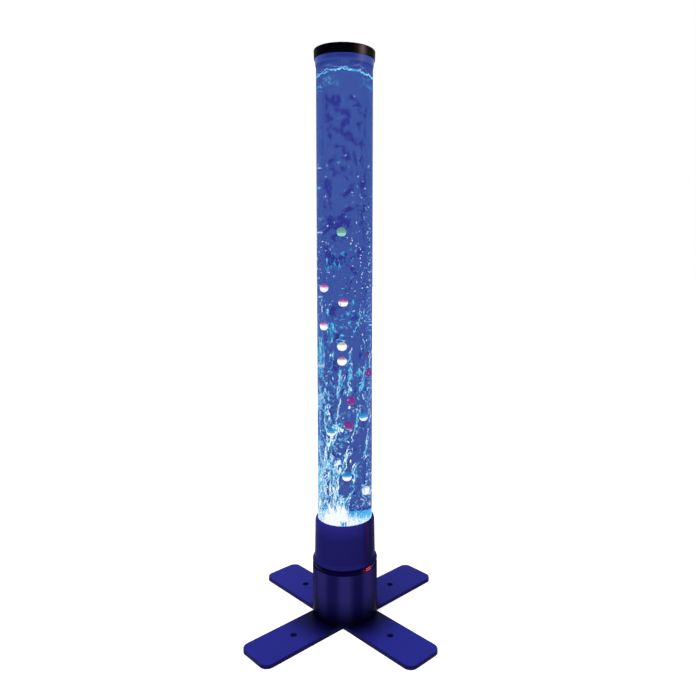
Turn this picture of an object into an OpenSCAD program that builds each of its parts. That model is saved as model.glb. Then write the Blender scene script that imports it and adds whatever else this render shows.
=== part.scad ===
// Bubble tube floor lamp: a clear tube of water and floats on a two-step base with four flat feet.
// Frame: +Z up, front towards -Y, origin on the floor below the tube's axis. Millimetres and degrees.

/* [Tube] */
// Outside diameter of the clear tube
tube_d = 100; // [94:1:112]
// Wall of the clear tube
tube_wall = 3; // [2:0.5:4]
// Height of tube seen between the collar and the cap
tube_show = 822; // [700:5:1200]
// Air space between the water and the cap's lower edge
air_space = 26; // [20:1:60]
// Thickness of the clear floor inside the tube
floor_t = 8; // [5:1:12]

/* [Cap] */
// Height of the cap
cap_h = 17; // [12:1:24]
// Side wall of the cap at its top
cap_wall = 3.8; // [2.5:0.1:5]
// How much the cap's side draws in towards its lower edge
cap_draft = 0.6; // [0:0.1:0.8]
// Top wall of the cap
cap_top_t = 4; // [2:0.5:5]
// Rounding of the cap's top edge
cap_round = 3; // [1:0.5:4]
// Diameter of the air vent in the cap
vent_d = 4; // [2:0.5:8]
// Height of the clear ring that the cap rests on
rim_h = 11; // [6:1:20]
// Wall of that ring at its top
rim_top_t = 2.5; // [2:0.1:3]
// Wall of that ring at its lower edge
rim_low_t = 1.1; // [0.8:0.1:1.8]

/* [Collar] */
// Height of the collar above the groove
collar_h = 81.5; // [70:0.5:110]
// Wall of the collar around the tube's rim
collar_wall = 4.9; // [4:0.1:7]
// How much wider the collar gets towards its foot
collar_flare = 1.2; // [0.5:0.1:3]
// Depth of tube held in the collar
socket_depth = 38.5; // [30:0.5:45]
// Height of the collar's rounded shoulder
shoulder_h = 9; // [4:0.5:14]
// Height of the sloped step at the collar's foot
step_h = 7; // [5:0.5:10]

/* [Housing] */
// How far the lower housing stands out past the collar's foot
step_out = 3.9; // [3.5:0.1:8]
// Height of the lower housing
housing_h = 92; // [88:1:130]
// Wall of the lower housing
housing_wall = 3; // [2:0.5:4]
// Height of the dark groove between housing and collar
groove_h = 8.5; // [6:0.5:12]
// Depth of the dark groove
groove_depth = 2.4; // [1.5:0.1:2.5]
// Thickness of the base plate inside the housing
base_t = 5; // [5:0.5:8]

/* [Feet] */
// Tip to tip length of one foot bar
bar_len = 410; // [340:5:480]
// Width of a foot bar
bar_w = 76; // [70:1:90]
// Thickness of a foot bar
bar_t = 8; // [6:0.5:12]
// Corner radius of a bar's ends
bar_corner = 15; // [8:1:30]
// Rounding of a bar's upper edges
bar_edge = 1.5; // [0.5:0.25:3]
// Diameter of the floor-fixing holes
fix_hole_d = 12; // [6:0.5:16]
// Distance of those holes from the lamp's axis
fix_hole_r = 120; // [90:1:150]

/* [Floats] */
// Diameter of a float
float_d = 16; // [12:0.5:17]

/* [Connections] */
// Diameter of the inlet's threaded barrel
inlet_d = 11.8; // [10:0.1:13]
// Diameter of the inlet's plug hole
plug_d = 5.6; // [5:0.1:6.5]
// Diameter of the mode button
button_d = 11; // [9:0.5:13]
// Travel of the mode button
button_travel = 1; // [0.5:0.1:1.5]

/* [Air line] */
// Outside diameter of the air hose
hose_d = 8; // [7:0.5:8.5]
// Diameter of the hose nipples
nipple_d = 5; // [4.5:0.1:5.5]
// Bore of the nipples and valve
air_bore = 3; // [2:0.1:3.5]

/* [Hidden] */
$fn = 96;

// Clearances
slip = 0.3;        // between round faces of pieces that move past each other
seat = 0.2;        // between round faces of fixed pieces
pin_fit = 0.05;    // radial play of the pump arm on its pin
eps = 0.01;        // overrun of a cut
edge = 0.6;        // small edge break

// Radii, from the tube outwards
tube_r = tube_d / 2;
bore_r = tube_r - tube_wall;
collar_top_r = tube_r + collar_wall;
collar_low_r = collar_top_r + collar_flare;
collar_in_r = collar_top_r - 3.4;
housing_r = collar_low_r + step_out;
housing_in_r = housing_r - housing_wall;
ring_face_r = housing_r - groove_depth;
tongue_r = min(housing_in_r, ring_face_r) - seat;
ring_wall = 2.8;
ring_in_r = tongue_r - ring_wall;
post_d = 10;
post_r = ring_in_r - 2 * seat - post_d / 2;

// Heights, from the floor upwards
seal_t = 1.5;      // rubber ring under the tube
floor_drop = 2;    // floor of the tube below the collar's rim
tube_gap = 0.5;    // between the tube's end and the cap's top wall
z_bars = bar_t;
z_plate = z_bars + base_t;
z_groove = z_bars + housing_h;
z_collar = z_groove + groove_h;
z_rim = z_collar + collar_h;
z_ledge = z_rim - socket_depth - seal_t;
z_tube = z_ledge + seal_t;
z_floor = z_rim - floor_drop;
z_cap = z_rim + tube_show;
z_cap_top = z_cap + cap_h;
z_tube_top = z_cap_top - cap_top_t - tube_gap;
z_water = z_cap - air_space;

// Groove ring and its red light
tongue_low_h = 6;
tongue_top_h = 4;
lens_angle = -38;
lens_w = 13;
lens_h = 5;
lens_z = z_groove + groove_h / 2;
led_d = 5;
led_flange_d = 6;
led_flange_t = 1;
pocket_w = 9;
pocket_depth = 4;

// Screws
tie_angles = [30, 150, 270];
tie_d = 4;
tie_head_d = 8;
tie_head_h = 2.5;
tie_recess = 3;
tie_grip = 18;     // thread held in the collar
bar_screw_d = 5;
bar_screw_head_d = 9.6;
bar_screw_r = 24;
bar_boss_h = 3;
bar_boss_d = 10;
screw_sink = 0.5;  // head below the bar's underside
cone_h = 2.4;

// Control board, inlet and button on the back wall
inlet_len = 18.4;
inlet_up = 26;      // inlet above the bars
button_up = 28;     // button above the inlet
inlet_z = z_bars + inlet_up;
button_z = inlet_z + button_up;
pad_w = 24;
pad_in = 6;        // back wall pad, from the housing's outside
spot_in = 1.6;     // flat under the inlet's flange, from the housing's outside
inlet_flange_t = 1.8;
inlet_flange_d = 15;
nut_t = 3;
nut_d = 17;
board_t = 1.6;
board_w = 64;
board_h = 60;
board_back_y = housing_r - inlet_len;
board_y = board_back_y - board_t;
// Flat parts on the board: [left edge, lower edge above the plate, width, thickness, height]
BOARD_PARTS = [[-22, 22, 12, 2, 12], [4, 30, 6, 1.6, 5], [-4, 8, 8, 3, 8]];
capacitor_x = 18;
capacitor_up = 22;
capacitor_d = 9;
capacitor_h = 14;
rail_w = 6;
rail_h = 9;
rail_t = 2;
switch_w = 6;
switch_t = 3.5;
plunger_d = 3.4;
plunger_t = 1.5;
button_flange_t = 2;
button_flange_d = button_d + 3;
button_stem_d = 4;
button_proud = 1.4;
press_gap = 0.1;

// Vent slots
vent_w = 2.5;
vent_h = 14;
vent_step = 7;
vent_up = 14;
vent_z = button_z + vent_up;

// Pump
frame_l = 70;
frame_w = 38;
frame_t = 3;
foot_h = 4;
foot_d = 9;
foot_in = 6;                // a foot's middle, from the frame's edges
foot_beside_boss = 8;       // the right feet stand this far right of the bar screws' bosses
boss_x = bar_screw_r * cos(45);
pump_x = boss_x + foot_beside_boss - (frame_l / 2 - foot_in);
pump_y = -10;
pump_z = z_plate + foot_h;
pivot_in = 7;               // pivot and core, from the frame's ends
core_in = 12;
pivot_x = frame_l / 2 - pivot_in;
core_x = core_in - frame_l / 2;
arm_up = 26.5;              // middle of the arm above the frame
arm_z = pump_z + frame_t + arm_up;
arm_t = 3;
arm_w = 10;
arm_past_core = 10;
hub_d = 8;
hub_over = 2.5;             // hub and pin stand out past the arm's sides
pin_over = 7;
pin_d = 3;
ear_t = 3;
ear_w = 10;
ear_over = 5;               // ear above the pin
head_up = 11.5;
head_z = arm_z + head_up;
head_h = 12;
head_l = 28;
head_x = -pump_x;           // the head stands below the air line
bracket_w = 24;
bracket_in = 5;
core_w = 16;
core_leg = 4;
core_mid = 6;
magnet_gap = 2;
magnet_t = 3;
magnet_l = 18;
magnet_w = 12;
core_h = arm_z - arm_t / 2 - magnet_t - magnet_gap - (pump_z + frame_t);
coil_t = 3.4;
core_yoke = 6;
coil_gap = coil_t + 0.6;
diaphragm_r = 10;

// Air line
air_y = -(bore_r - 9.5);   // axis of the check valve and the nipple under the floor
valve_d = 11;
valve_h = 12;
nip_len = 8;
valve_top_z = z_ledge - nip_len - 2 * seat;
valve_z = valve_top_z - valve_h;
disc_lift = 1.5;            // how far the valve disc can rise
disc_t = 1;
disc_d = 6;
valve_floor_t = 2.5;
hose_bend = 11;             // centre-line radius of the hose's two bends
block_w = 12;
block_l = 9;
block_h = 7;
stone_d = 8;
stone_l = 30;
stone_x = -8;
pipe_d = 4;

// LED board
ledge_in_r = -air_y + hose_d / 2 + 0.7;
ledge_t = 4;
carrier_wall = 3.3;
carrier_in_r = ledge_in_r + seat;
carrier_r = min(carrier_in_r + carrier_wall, bore_r - 1);
led_drop = 13;              // board below the tube's clear floor
led_board_z = z_floor - floor_t - led_drop;
led_n = 9;
led_ring_r = 24;
led_size = 5;
led_h = 1.6;

// Leads, and the plugs on the control board
lead_d = 3;
leg_d = 2;
signal_bend = 5;
plug_size = 6;
plug_up = 46;
plug_z = z_plate + plug_up;
plug_h = 8;
lead_x = 6;
signal_x = 26;
pump_lead_x = pump_x + core_x;
pump_lead_up = 12;
pump_lead_z = pump_z + frame_t + pump_lead_up;

// Floats: [node, angle from +X, height of centre above the tube's floor, colour]
column_r = bore_r - float_d / 2 - 2 * slip;
water_r = column_r - float_d / 2 - slip;
FLOATS = [
    ["float_green_top", -94, 525, "limegreen"],
    ["float_red_high", -90, 403, "crimson"],
    ["float_lime", -93, 325, "yellowgreen"],
    ["float_red_mid", -93, 299, "crimson"],
    ["float_magenta_high", -70, 228, "deeppink"],
    ["float_magenta_low", -77, 183, "deeppink"],
    ["float_cyan_low", -81, 90, "deepskyblue"],
    ["float_cyan_left", -122, 170, "deepskyblue"],
    ["float_red_left", -146, 427, "crimson"],
    ["float_red_edge", -147, 359, "crimson"],
    ["float_cyan_right", -33, 195, "deepskyblue"],
    ["float_magenta_edge", -9, 272, "deeppink"],
    ["float_white", -23, 56, "white"],
    ["float_red_back", 59, 298, "crimson"],
    ["float_cyan_back", 110, 142, "deepskyblue"],
    ["float_green_back", 85, 492, "limegreen"],
    ["float_cyan_bottom", -98, 36, "deepskyblue"]
];

// ---------- shared shapes ----------

module ring(r_out, r_in, h) {
    difference() {
        cylinder(r = r_out, h = h);
        translate([0, 0, -1]) cylinder(r = r_in, h = h + 2);
    }
}

module at_angle(a, r) {
    rotate([0, 0, a]) translate([r, 0, 0]) children();
}

module along_y(y, z) {
    translate([0, y, z]) rotate([-90, 0, 0]) children();
}

// Points of a quarter round of radius r, from the side up to the top
function round_over(r, n = 5) = [for (i = [0:n]) [r * (cos(90 * i / n) - 1), r * (sin(90 * i / n) - 1)]];

// A flat plate with round corners and rounded upper edges
module soft_plate(length, width, t, corner, er) {
    over = round_over(er);
    module bar(l, w) {
        half = [for (p = over) [w / 2 + p[0], t + p[1]]];
        left = [for (i = [len(over) - 1:-1:0]) [-w / 2 - over[i][0], t + over[i][1]]];
        rotate([90, 0, 90]) linear_extrude(l, center = true)
            polygon(concat([[w / 2, 0]], half, left, [[-w / 2, 0]]));
    }
    union() {
        bar(length - 2 * corner, width);
        rotate([0, 0, 90]) bar(width - 2 * corner, length);
        for (x = [-1, 1], y = [-1, 1])
            translate([x * (length / 2 - corner), y * (width / 2 - corner), 0])
                rotate_extrude() polygon(concat(
                    [[0, 0], [corner, 0]], [for (p = over) [corner + p[0], t + p[1]]], [[0, t]]));
    }
}

// A section carried round a bend of radius r, in the plane x = 0, that starts upwards at the origin
// and turns towards -Y
module bend_round(r, a) {
    rotate([90, 0, 90]) translate([-r, 0, 0]) rotate_extrude(angle = a) translate([r, 0]) children();
}

// ---------- feet ----------

module foot_bar(notch_z) {
    color("#30338f") rotate([0, 0, 45]) difference() {
        soft_plate(bar_len, bar_w, bar_t, bar_corner, bar_edge);
        for (s = [-1, 1]) translate([s * fix_hole_r, 0, -1]) cylinder(d = fix_hole_d, h = bar_t + 2);
        translate([0, 0, notch_z + bar_t / 2])
            cube([bar_w + 2 * seat, bar_w + 2, bar_t], center = true);
        for (a = [0:90:270]) at_angle(a, bar_screw_r) translate([0, 0, -1]) {
            cylinder(d = bar_screw_d + 2 * seat, h = bar_t + 2);
            cylinder(d = bar_screw_head_d + 2 * seat, h = 1 + screw_sink);
            translate([0, 0, 1 + screw_sink])
                cylinder(d1 = bar_screw_head_d + 2 * seat, d2 = bar_screw_d + 2 * seat, h = cone_h);
        }
    }
}
module foot_bar_lower() {
    foot_bar(bar_t / 2);
}

module foot_bar_upper() {
    rotate([0, 0, 90]) foot_bar(-bar_t / 2);
}

module bar_screws() {
    color("silver") rotate([0, 0, 45]) for (a = [0:90:270]) at_angle(a, bar_screw_r) difference() {
        union() {
            translate([0, 0, screw_sink]) {
                cylinder(d1 = bar_screw_head_d, d2 = bar_screw_d, h = cone_h);
                cylinder(d = bar_screw_d, h = z_plate + bar_boss_h - 1 - screw_sink);
            }
        }
        translate([0, 0, screw_sink - eps]) cylinder(d = 3, h = 1.5, $fn = 6);
    }
}

// ---------- base plate and lower housing ----------

module base_plate() {
    color("#1b1b3a") difference() {
        union() {
            translate([0, 0, z_bars]) cylinder(r = housing_in_r - seat, h = base_t);
            for (a = [45:90:315]) at_angle(a, bar_screw_r)
                translate([0, 0, z_bars]) cylinder(d = bar_boss_d, h = base_t + bar_boss_h);
            for (s = [-1, 1])
                translate([s * (board_w - rail_w) / 2, board_y + board_t / 2, z_plate + rail_h / 2])
                    difference() {
                        cube([rail_w, board_t + 2 * rail_t, rail_h], center = true);
                        cube([rail_w + 2, board_t + seat, rail_h + 1], center = true);
                    }
        }
        for (a = [45:90:315]) at_angle(a, bar_screw_r)
            translate([0, 0, z_bars - 1]) cylinder(d = bar_screw_d + seat, h = base_t + bar_boss_h + 2);
        for (a = tie_angles) at_angle(a, post_r) translate([0, 0, z_bars - 1]) {
            cylinder(d = tie_d + 2 * seat, h = base_t + 2);
            cylinder(d = tie_head_d + 2 * seat, h = 1 + tie_recess);
        }
    }
}

module lower_housing() {
    color("#2b2860") difference() {
        union() {
            translate([0, 0, z_bars]) rotate_extrude() polygon([
                [housing_in_r, 0], [housing_r, 0], [housing_r, housing_h - edge],
                [housing_r - edge, housing_h], [housing_in_r, housing_h]]);
            for (a = tie_angles) at_angle(a, post_r) translate([0, 0, z_plate]) {
                cylinder(d = post_d, h = z_groove - z_plate);
                translate([0, -housing_wall / 2, 0])
                    cube([housing_in_r - post_r + 1, housing_wall, z_groove - z_plate - tongue_low_h - seat]);
            }
            intersection() {
                translate([0, 0, z_bars]) cylinder(r = housing_r - 1, h = housing_h);
                translate([-pad_w / 2, housing_r - pad_in, inlet_z - 12])
                    cube([pad_w, pad_in, button_z - inlet_z + 24]);
            }
        }
        for (a = tie_angles) at_angle(a, post_r)
            translate([0, 0, z_plate - 1]) cylinder(d = tie_d + 2 * seat, h = housing_h);
        along_y(housing_r - pad_in - 1, inlet_z) cylinder(d = inlet_d + 2 * seat, h = pad_in + 2);
        along_y(housing_r - spot_in, inlet_z) cylinder(d = inlet_flange_d + 1, h = 5);
        along_y(housing_r - pad_in - 1, button_z) cylinder(d = button_d + 2 * slip, h = pad_in + 2);
        for (i = [-2:2]) rotate([0, 0, 90 + i * vent_step])
            translate([housing_in_r - 1, -vent_w / 2, vent_z]) cube([housing_wall + 2, vent_w, vent_h]);
    }
}

module tie_screws() {
    color("gainsboro") for (a = tie_angles) at_angle(a, post_r) difference() {
        union() {
            translate([0, 0, z_bars + tie_recess - tie_head_h]) cylinder(d = tie_head_d, h = tie_head_h);
            translate([0, 0, z_bars + tie_recess - eps])
                cylinder(d = tie_d, h = z_groove + tie_grip - z_bars - tie_recess);
        }
        translate([0, 0, z_bars + tie_recess - tie_head_h - eps]) cylinder(d = 3.4, h = 1.5, $fn = 6);
    }
}

// ---------- groove ring ----------

module lens_box(extra) {
    translate([ring_in_r - 1, -lens_w / 2 - extra, lens_z - lens_h / 2 - extra])
        cube([groove_depth + ring_wall + 4, lens_w + 2 * extra, lens_h + 2 * extra]);
}

module window_ring() {
    color("#07071c") difference() {
        union() {
            translate([0, 0, z_groove]) ring(ring_face_r, ring_in_r, groove_h);
            translate([0, 0, z_groove - tongue_low_h])
                ring(tongue_r, ring_in_r, tongue_low_h + groove_h + tongue_top_h);
            rotate([0, 0, lens_angle])
                translate([ring_in_r - pocket_depth, -pocket_w / 2, lens_z - pocket_w / 2])
                    cube([pocket_depth + 1, pocket_w, pocket_w]);
        }
        rotate([0, 0, lens_angle]) lens_box(0);
        rotate([0, 0, lens_angle]) translate([ring_in_r - pocket_depth - 1, 0, lens_z])
            rotate([0, 90, 0]) cylinder(d = led_d + 2 * seat, h = pocket_depth + 3);
    }
}

module indicator_lens() {
    color("red") rotate([0, 0, lens_angle]) intersection() {
        lens_box(-0.1);
        translate([0, 0, z_groove]) rotate([0, 0, -90]) rotate_extrude() polygon([
            [ring_in_r + 0.2, 0], [ring_face_r, 0], [ring_face_r, groove_h], [ring_in_r + 0.2, groove_h]]);
    }
}

module indicator_led() {
    color("tomato") at_angle(lens_angle, ring_in_r - pocket_depth - led_flange_t) translate([0, 0, lens_z])
        rotate([0, 90, 0]) {
            cylinder(d = led_flange_d, h = led_flange_t);
            cylinder(d = led_d, h = led_flange_t + pocket_depth);
        }
}

// ---------- collar ----------

module tube_collar() {
    tongue_top = z_collar + tongue_top_h + seat;
    post_top = z_ledge - ledge_t / 2;
    shoulder = [for (i = [0:6]) [
        collar_top_r - (collar_wall - 1) * (1 - cos(15 * i)), z_rim - shoulder_h * (1 - sin(15 * i))]];
    color("#2b2860") difference() {
        union() {
            rotate_extrude() polygon(concat([
                [housing_in_r, z_collar], [housing_r, z_collar], [housing_r, z_collar + 1.5],
                [housing_r - step_out * 0.25, z_collar + 1.5 + step_h * 0.35],
                [housing_r - step_out * 0.65, z_collar + 1.5 + step_h * 0.75],
                [collar_low_r, z_collar + 1.5 + step_h]],
                shoulder,
                [[tube_r + seat, z_rim], [tube_r + seat, z_ledge], [ledge_in_r, z_ledge],
                [ledge_in_r, z_ledge - ledge_t], [collar_in_r, z_ledge - ledge_t],
                [collar_in_r, tongue_top], [housing_in_r, tongue_top]]));
            for (a = tie_angles) at_angle(a, post_r) {
                translate([0, 0, z_groove]) cylinder(d = post_d, h = post_top - z_groove);
                translate([0, -housing_wall / 2, tongue_top])
                    cube([collar_in_r - post_r + 1, housing_wall, post_top - tongue_top]);
            }
        }
        for (a = tie_angles) at_angle(a, post_r)
            translate([0, 0, z_groove - 1]) cylinder(d = tie_d + seat, h = tie_grip + 4);
    }
}

// ---------- tube and what stands in it ----------

module tube_seal() {
    color("dimgray") translate([0, 0, z_ledge]) ring(tube_r, bore_r - 0.6, seal_t);
}

module acrylic_tube() {
    color([0.6, 0.75, 1, 0.35]) translate([0, 0, z_tube]) ring(tube_r, bore_r, z_tube_top - z_tube);
}

module rim_ring() {
    color([0.7, 0.8, 1, 0.5]) rotate_extrude() polygon([
        [tube_r + 0.1, z_cap - rim_h], [tube_r + rim_low_t, z_cap - rim_h],
        [tube_r + rim_top_t, z_cap], [tube_r + 0.1, z_cap]]);
}

module top_cap() {
    cap_r = tube_r + slip + cap_wall;
    over = round_over(cap_round);
    color("#08080e") rotate_extrude() polygon(concat(
        [[vent_d / 2, z_cap_top - cap_top_t], [tube_r + slip, z_cap_top - cap_top_t], [tube_r + slip, z_cap],
         [cap_r - cap_draft, z_cap]],
        [for (p = over) [cap_r + p[0], z_cap_top + p[1]]],
        [[vent_d / 2, z_cap_top]]));
}

module floor_disc() {
    color([0.8, 0.95, 1, 0.8]) difference() {
        translate([0, 0, z_floor - floor_t]) cylinder(r = bore_r - 0.1, h = floor_t);
        translate([0, air_y, z_floor - floor_t - 1]) cylinder(d = nipple_d + seat, h = floor_t + 2);
    }
}

module air_outlet_block() {
    pipe_z = z_floor + stone_d / 2;
    color([0.4, 0.8, 1, 0.8]) difference() {
        union() {
            translate([-block_w / 2, air_y + nipple_d / 2 + 0.5 - block_l, z_floor])
                cube([block_w, block_l, block_h]);
            translate([0, air_y, z_floor - floor_t - nip_len])
                cylinder(d = nipple_d, h = floor_t + nip_len + 1);
            along_y(air_y, pipe_z) cylinder(d = pipe_d, h = -air_y - 1);
        }
        translate([0, air_y, z_floor - floor_t - nip_len - 1])
            cylinder(d = air_bore, h = pipe_z - z_floor + floor_t + nip_len + 1);
        along_y(air_y, pipe_z) cylinder(d = pipe_d / 2, h = -air_y + 1);
    }
}

module air_stone() {
    color("lightsteelblue") difference() {
        translate([stone_x - stone_l / 2, 0, z_floor + stone_d / 2]) rotate([0, 90, 0])
            cylinder(d = stone_d, h = stone_l);
        along_y(-stone_d, z_floor + stone_d / 2) cylinder(d = pipe_d + seat, h = stone_d);
    }
}

// The water is drawn as its core; the ring outside it is the path of the floats.
module water_column() {
    color([0.2, 0.35, 0.7, 0.5]) difference() {
        translate([0, 0, z_floor]) cylinder(r = water_r, h = z_water - z_floor);
        translate([stone_x - stone_l / 2 - slip, -stone_d / 2 - slip, z_floor - 1])
            cube([stone_l + 2 * slip, stone_d + 2 * slip, stone_d + slip + 1]);
        translate([-pipe_d / 2 - slip, -water_r - 1, z_floor - 1])
            cube([pipe_d + 2 * slip, water_r + 1, stone_d / 2 + pipe_d / 2 + slip + 1]);
    }
}

// ---------- lights under the floor ----------

module led_carrier() {
    color("whitesmoke") translate([0, 0, z_ledge]) ring(carrier_r, carrier_in_r, led_board_z - z_ledge);
}

module led_board() {
    color("white") translate([0, 0, led_board_z]) difference() {
        cylinder(r = carrier_r, h = board_t);
        translate([0, air_y, -1]) cylinder(d = hose_d + 1, h = board_t + 2);
    }
}

module leds() {
    color("lightcyan") for (i = [0:led_n - 1]) at_angle(360 * i / led_n, led_ring_r)
        translate([-led_size / 2, -led_size / 2, led_board_z + board_t]) cube([led_size, led_size, led_h]);
}

// ---------- control board, inlet and button ----------

module control_board() {
    color("seagreen") translate([-board_w / 2, board_y, z_plate]) cube([board_w, board_t, board_h]);
}

module board_parts() {
    color("#222222") {
        for (part = BOARD_PARTS)
            translate([part[0], board_y - part[3], z_plate + part[1]]) cube([part[2], part[3], part[4]]);
        translate([capacitor_x, board_y - capacitor_d / 2, z_plate + capacitor_up])
            cylinder(d = capacitor_d, h = capacitor_h);
        for (x = [lead_x, signal_x])
            translate([x - plug_size / 2, board_y - plug_size, plug_z]) cube([plug_size, plug_size, plug_h]);
        translate([pump_lead_x - plug_size / 2, board_y - plug_size, pump_lead_z - plug_size / 2])
            cube([plug_size, plug_size, plug_size]);
    }
}

module dc_inlet() {
    flange_y = housing_r - spot_in;
    color("#151515") difference() {
        union() {
            along_y(board_back_y, inlet_z) cylinder(d = inlet_d, h = flange_y - board_back_y + 1);
            along_y(flange_y, inlet_z) cylinder(d = inlet_flange_d, h = inlet_flange_t);
        }
        along_y(flange_y + inlet_flange_t - 10, inlet_z) difference() {
            cylinder(d = plug_d, h = 11);
            cylinder(d = 2, h = 9);
        }
    }
}

module dc_inlet_nut() {
    color("silver") along_y(housing_r - pad_in - nut_t, inlet_z) difference() {
        cylinder(d = nut_d, h = nut_t, $fn = 6);
        translate([0, 0, -1]) cylinder(d = inlet_d + seat, h = nut_t + 2);
    }
}

module button_switch() {
    color("#303030") {
        translate([-switch_w / 2, board_back_y, button_z - switch_w / 2])
            cube([switch_w, switch_t, switch_w]);
        along_y(board_back_y + switch_t, button_z) cylinder(d = plunger_d, h = plunger_t);
    }
}

module mode_button() {
    stem_y = board_back_y + switch_t + plunger_t + press_gap + button_travel;
    flange_y = housing_r - pad_in - slip - button_flange_t;
    color("#101028") {
        along_y(stem_y, button_z) cylinder(d = button_stem_d, h = flange_y - stem_y + 1);
        along_y(flange_y, button_z) cylinder(d = button_flange_d, h = button_flange_t);
        along_y(flange_y, button_z) cylinder(d = button_d, h = housing_r + button_proud - flange_y - edge);
        along_y(housing_r + button_proud - edge, button_z)
            cylinder(d1 = button_d, d2 = button_d - 2 * edge, h = edge);
    }
}

// ---------- pump ----------

module at_pump() {
    translate([pump_x, pump_y, 0]) children();
}

module pump_feet() {
    color("#202020") at_pump() for (x = [-1, 1], y = [-1, 1])
        translate([x * (frame_l / 2 - foot_in), y * (frame_w / 2 - foot_in), z_plate])
            cylinder(d = foot_d, h = foot_h);
}

module pump_frame() {
    ear_y = arm_w / 2 + ear_t;
    wall_y = frame_w / 2 - bracket_in;
    color("slategray") at_pump() difference() {
        union() {
            translate([-frame_l / 2, -frame_w / 2, pump_z]) cube([frame_l, frame_w, frame_t]);
            for (s = [-1, 1]) {
                translate([pivot_x - ear_w / 2, s * (ear_y + ear_t / 2) - ear_t / 2, pump_z + frame_t])
                    cube([ear_w, ear_t, arm_up + ear_over]);
                translate([head_x - bracket_w / 2, s * (wall_y + ear_t / 2) - ear_t / 2, pump_z + frame_t])
                    cube([bracket_w, ear_t, arm_up + head_up]);
            }
        }
        translate([pivot_x, -frame_w / 2, arm_z]) rotate([-90, 0, 0]) cylinder(d = pin_d + 0.04, h = frame_w);
    }
}

module pump_core() {
    half = core_mid / 2 + coil_gap + core_leg;
    color("gray") at_pump() translate([core_x, 0, pump_z + frame_t]) union() {
        translate([-half, -core_w / 2, 0]) cube([2 * half, core_w, core_yoke]);
        for (x = [-half, -core_mid / 2, half - core_leg])
            translate([x, -core_w / 2, 0]) cube([x == -core_mid / 2 ? core_mid : core_leg, core_w, core_h]);
    }
}

module pump_coil() {
    color("peru") at_pump() translate([core_x, 0, pump_z + frame_t + core_yoke]) difference() {
        translate([-core_mid / 2 - coil_gap + 0.2, -core_w / 2 - coil_t, 0])
            cube([core_mid + 2 * coil_gap - 0.4, core_w + 2 * coil_t, core_h - core_yoke - 2]);
        translate([-core_mid / 2 - 0.1, -core_w / 2 - 0.1, -1]) cube([core_mid + 0.2, core_w + 0.2, core_h]);
    }
}

module pump_arm() {
    color("lightgray") at_pump() difference() {
        union() {
            translate([core_x - arm_past_core, -arm_w / 2, arm_z - arm_t / 2])
                cube([pivot_x - core_x + arm_past_core, arm_w, arm_t]);
            translate([pivot_x, -arm_w / 2 - hub_over, arm_z]) rotate([-90, 0, 0])
                cylinder(d = hub_d, h = arm_w + 2 * hub_over);
        }
        translate([pivot_x, -arm_w, arm_z]) rotate([-90, 0, 0])
            cylinder(d = pin_d + 2 * pin_fit, h = 2 * arm_w);
    }
}

module pump_magnet() {
    color("dimgray") at_pump() translate([core_x - magnet_l / 2, -magnet_w / 2, arm_z - arm_t / 2 - magnet_t])
        cube([magnet_l, magnet_w, magnet_t]);
}

module pump_pivot_pin() {
    color("silver") at_pump() translate([pivot_x, -arm_w / 2 - pin_over, arm_z]) rotate([-90, 0, 0])
        cylinder(d = pin_d, h = arm_w + 2 * pin_over);
}

module pump_diaphragm() {
    low = arm_z + arm_t / 2;
    color("#333333") at_pump() translate([head_x, 0, 0]) rotate_extrude() polygon([
        [0, low], [3, low], [3, low + 2], [5, low + 3],
        [diaphragm_r, head_z - 2], [diaphragm_r, head_z], [0, head_z]]);
}

module pump_head() {
    color("slategray") at_pump() translate([head_x, 0, head_z]) difference() {
        union() {
            translate([-head_l / 2, -frame_w / 2 + 2, 0]) cube([head_l, frame_w - 4, head_h]);
            translate([0, 0, head_h - 1]) cylinder(d = nipple_d, h = nip_len + 1);
        }
        translate([0, 0, -1]) cylinder(r = diaphragm_r - 2, h = 5);
        translate([0, 0, 2]) cylinder(d = air_bore, h = head_h + nip_len);
        translate([0, 0, head_h / 2]) rotate([0, 90, 0]) cylinder(d = air_bore, h = head_l);
    }
}

// ---------- air line ----------

module check_valve() {
    color([0.9, 0.9, 0.95]) translate([0, air_y, valve_z]) difference() {
        union() {
            cylinder(d = valve_d, h = valve_h);
            translate([0, 0, -nip_len]) cylinder(d = nipple_d, h = valve_h + 2 * nip_len);
        }
        translate([0, 0, -nip_len - 1]) cylinder(d = air_bore, h = valve_h + 2 * nip_len + 2);
        translate([0, 0, valve_floor_t]) cylinder(d = disc_d + 2 * slip, h = disc_t + disc_lift + slip);
    }
}

module valve_disc() {
    color("#222222") translate([0, air_y, valve_z + valve_floor_t]) cylinder(d = disc_d, h = disc_t);
}

module hose_section() {
    difference() {
        circle(d = hose_d, $fn = 32);
        circle(d = nipple_d + 0.1, $fn = 32);
    }
}

module hose_run(length) {
    linear_extrude(length) hose_section();
}

module lower_hose() {
    low_z = head_z + head_h;
    high_z = valve_z - nip_len;
    across = pump_y - air_y - 2 * hose_bend;
    color([0.85, 0.9, 1]) {
        translate([0, pump_y, low_z]) hose_run(high_z - 2 * hose_bend - low_z);
        translate([0, pump_y, high_z - 2 * hose_bend]) bend_round(hose_bend, 90) hose_section();
        translate([0, pump_y - hose_bend, high_z - hose_bend]) rotate([90, 0, 0]) hose_run(across);
        translate([0, air_y, high_z]) rotate([180, 0, 0]) bend_round(hose_bend, 90) hose_section();
        translate([0, air_y, high_z]) hose_run(nip_len);
    }
}

module upper_hose() {
    low_z = valve_z + valve_h;
    color([0.85, 0.9, 1]) translate([0, air_y, low_z]) hose_run(z_floor - floor_t - 1 - low_z);
}

// ---------- leads ----------

module led_leads() {
    color("firebrick") translate([lead_x, board_y - plug_size / 2, plug_z + plug_h])
        cylinder(d = lead_d, h = led_board_z - plug_z - plug_h);
}

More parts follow.
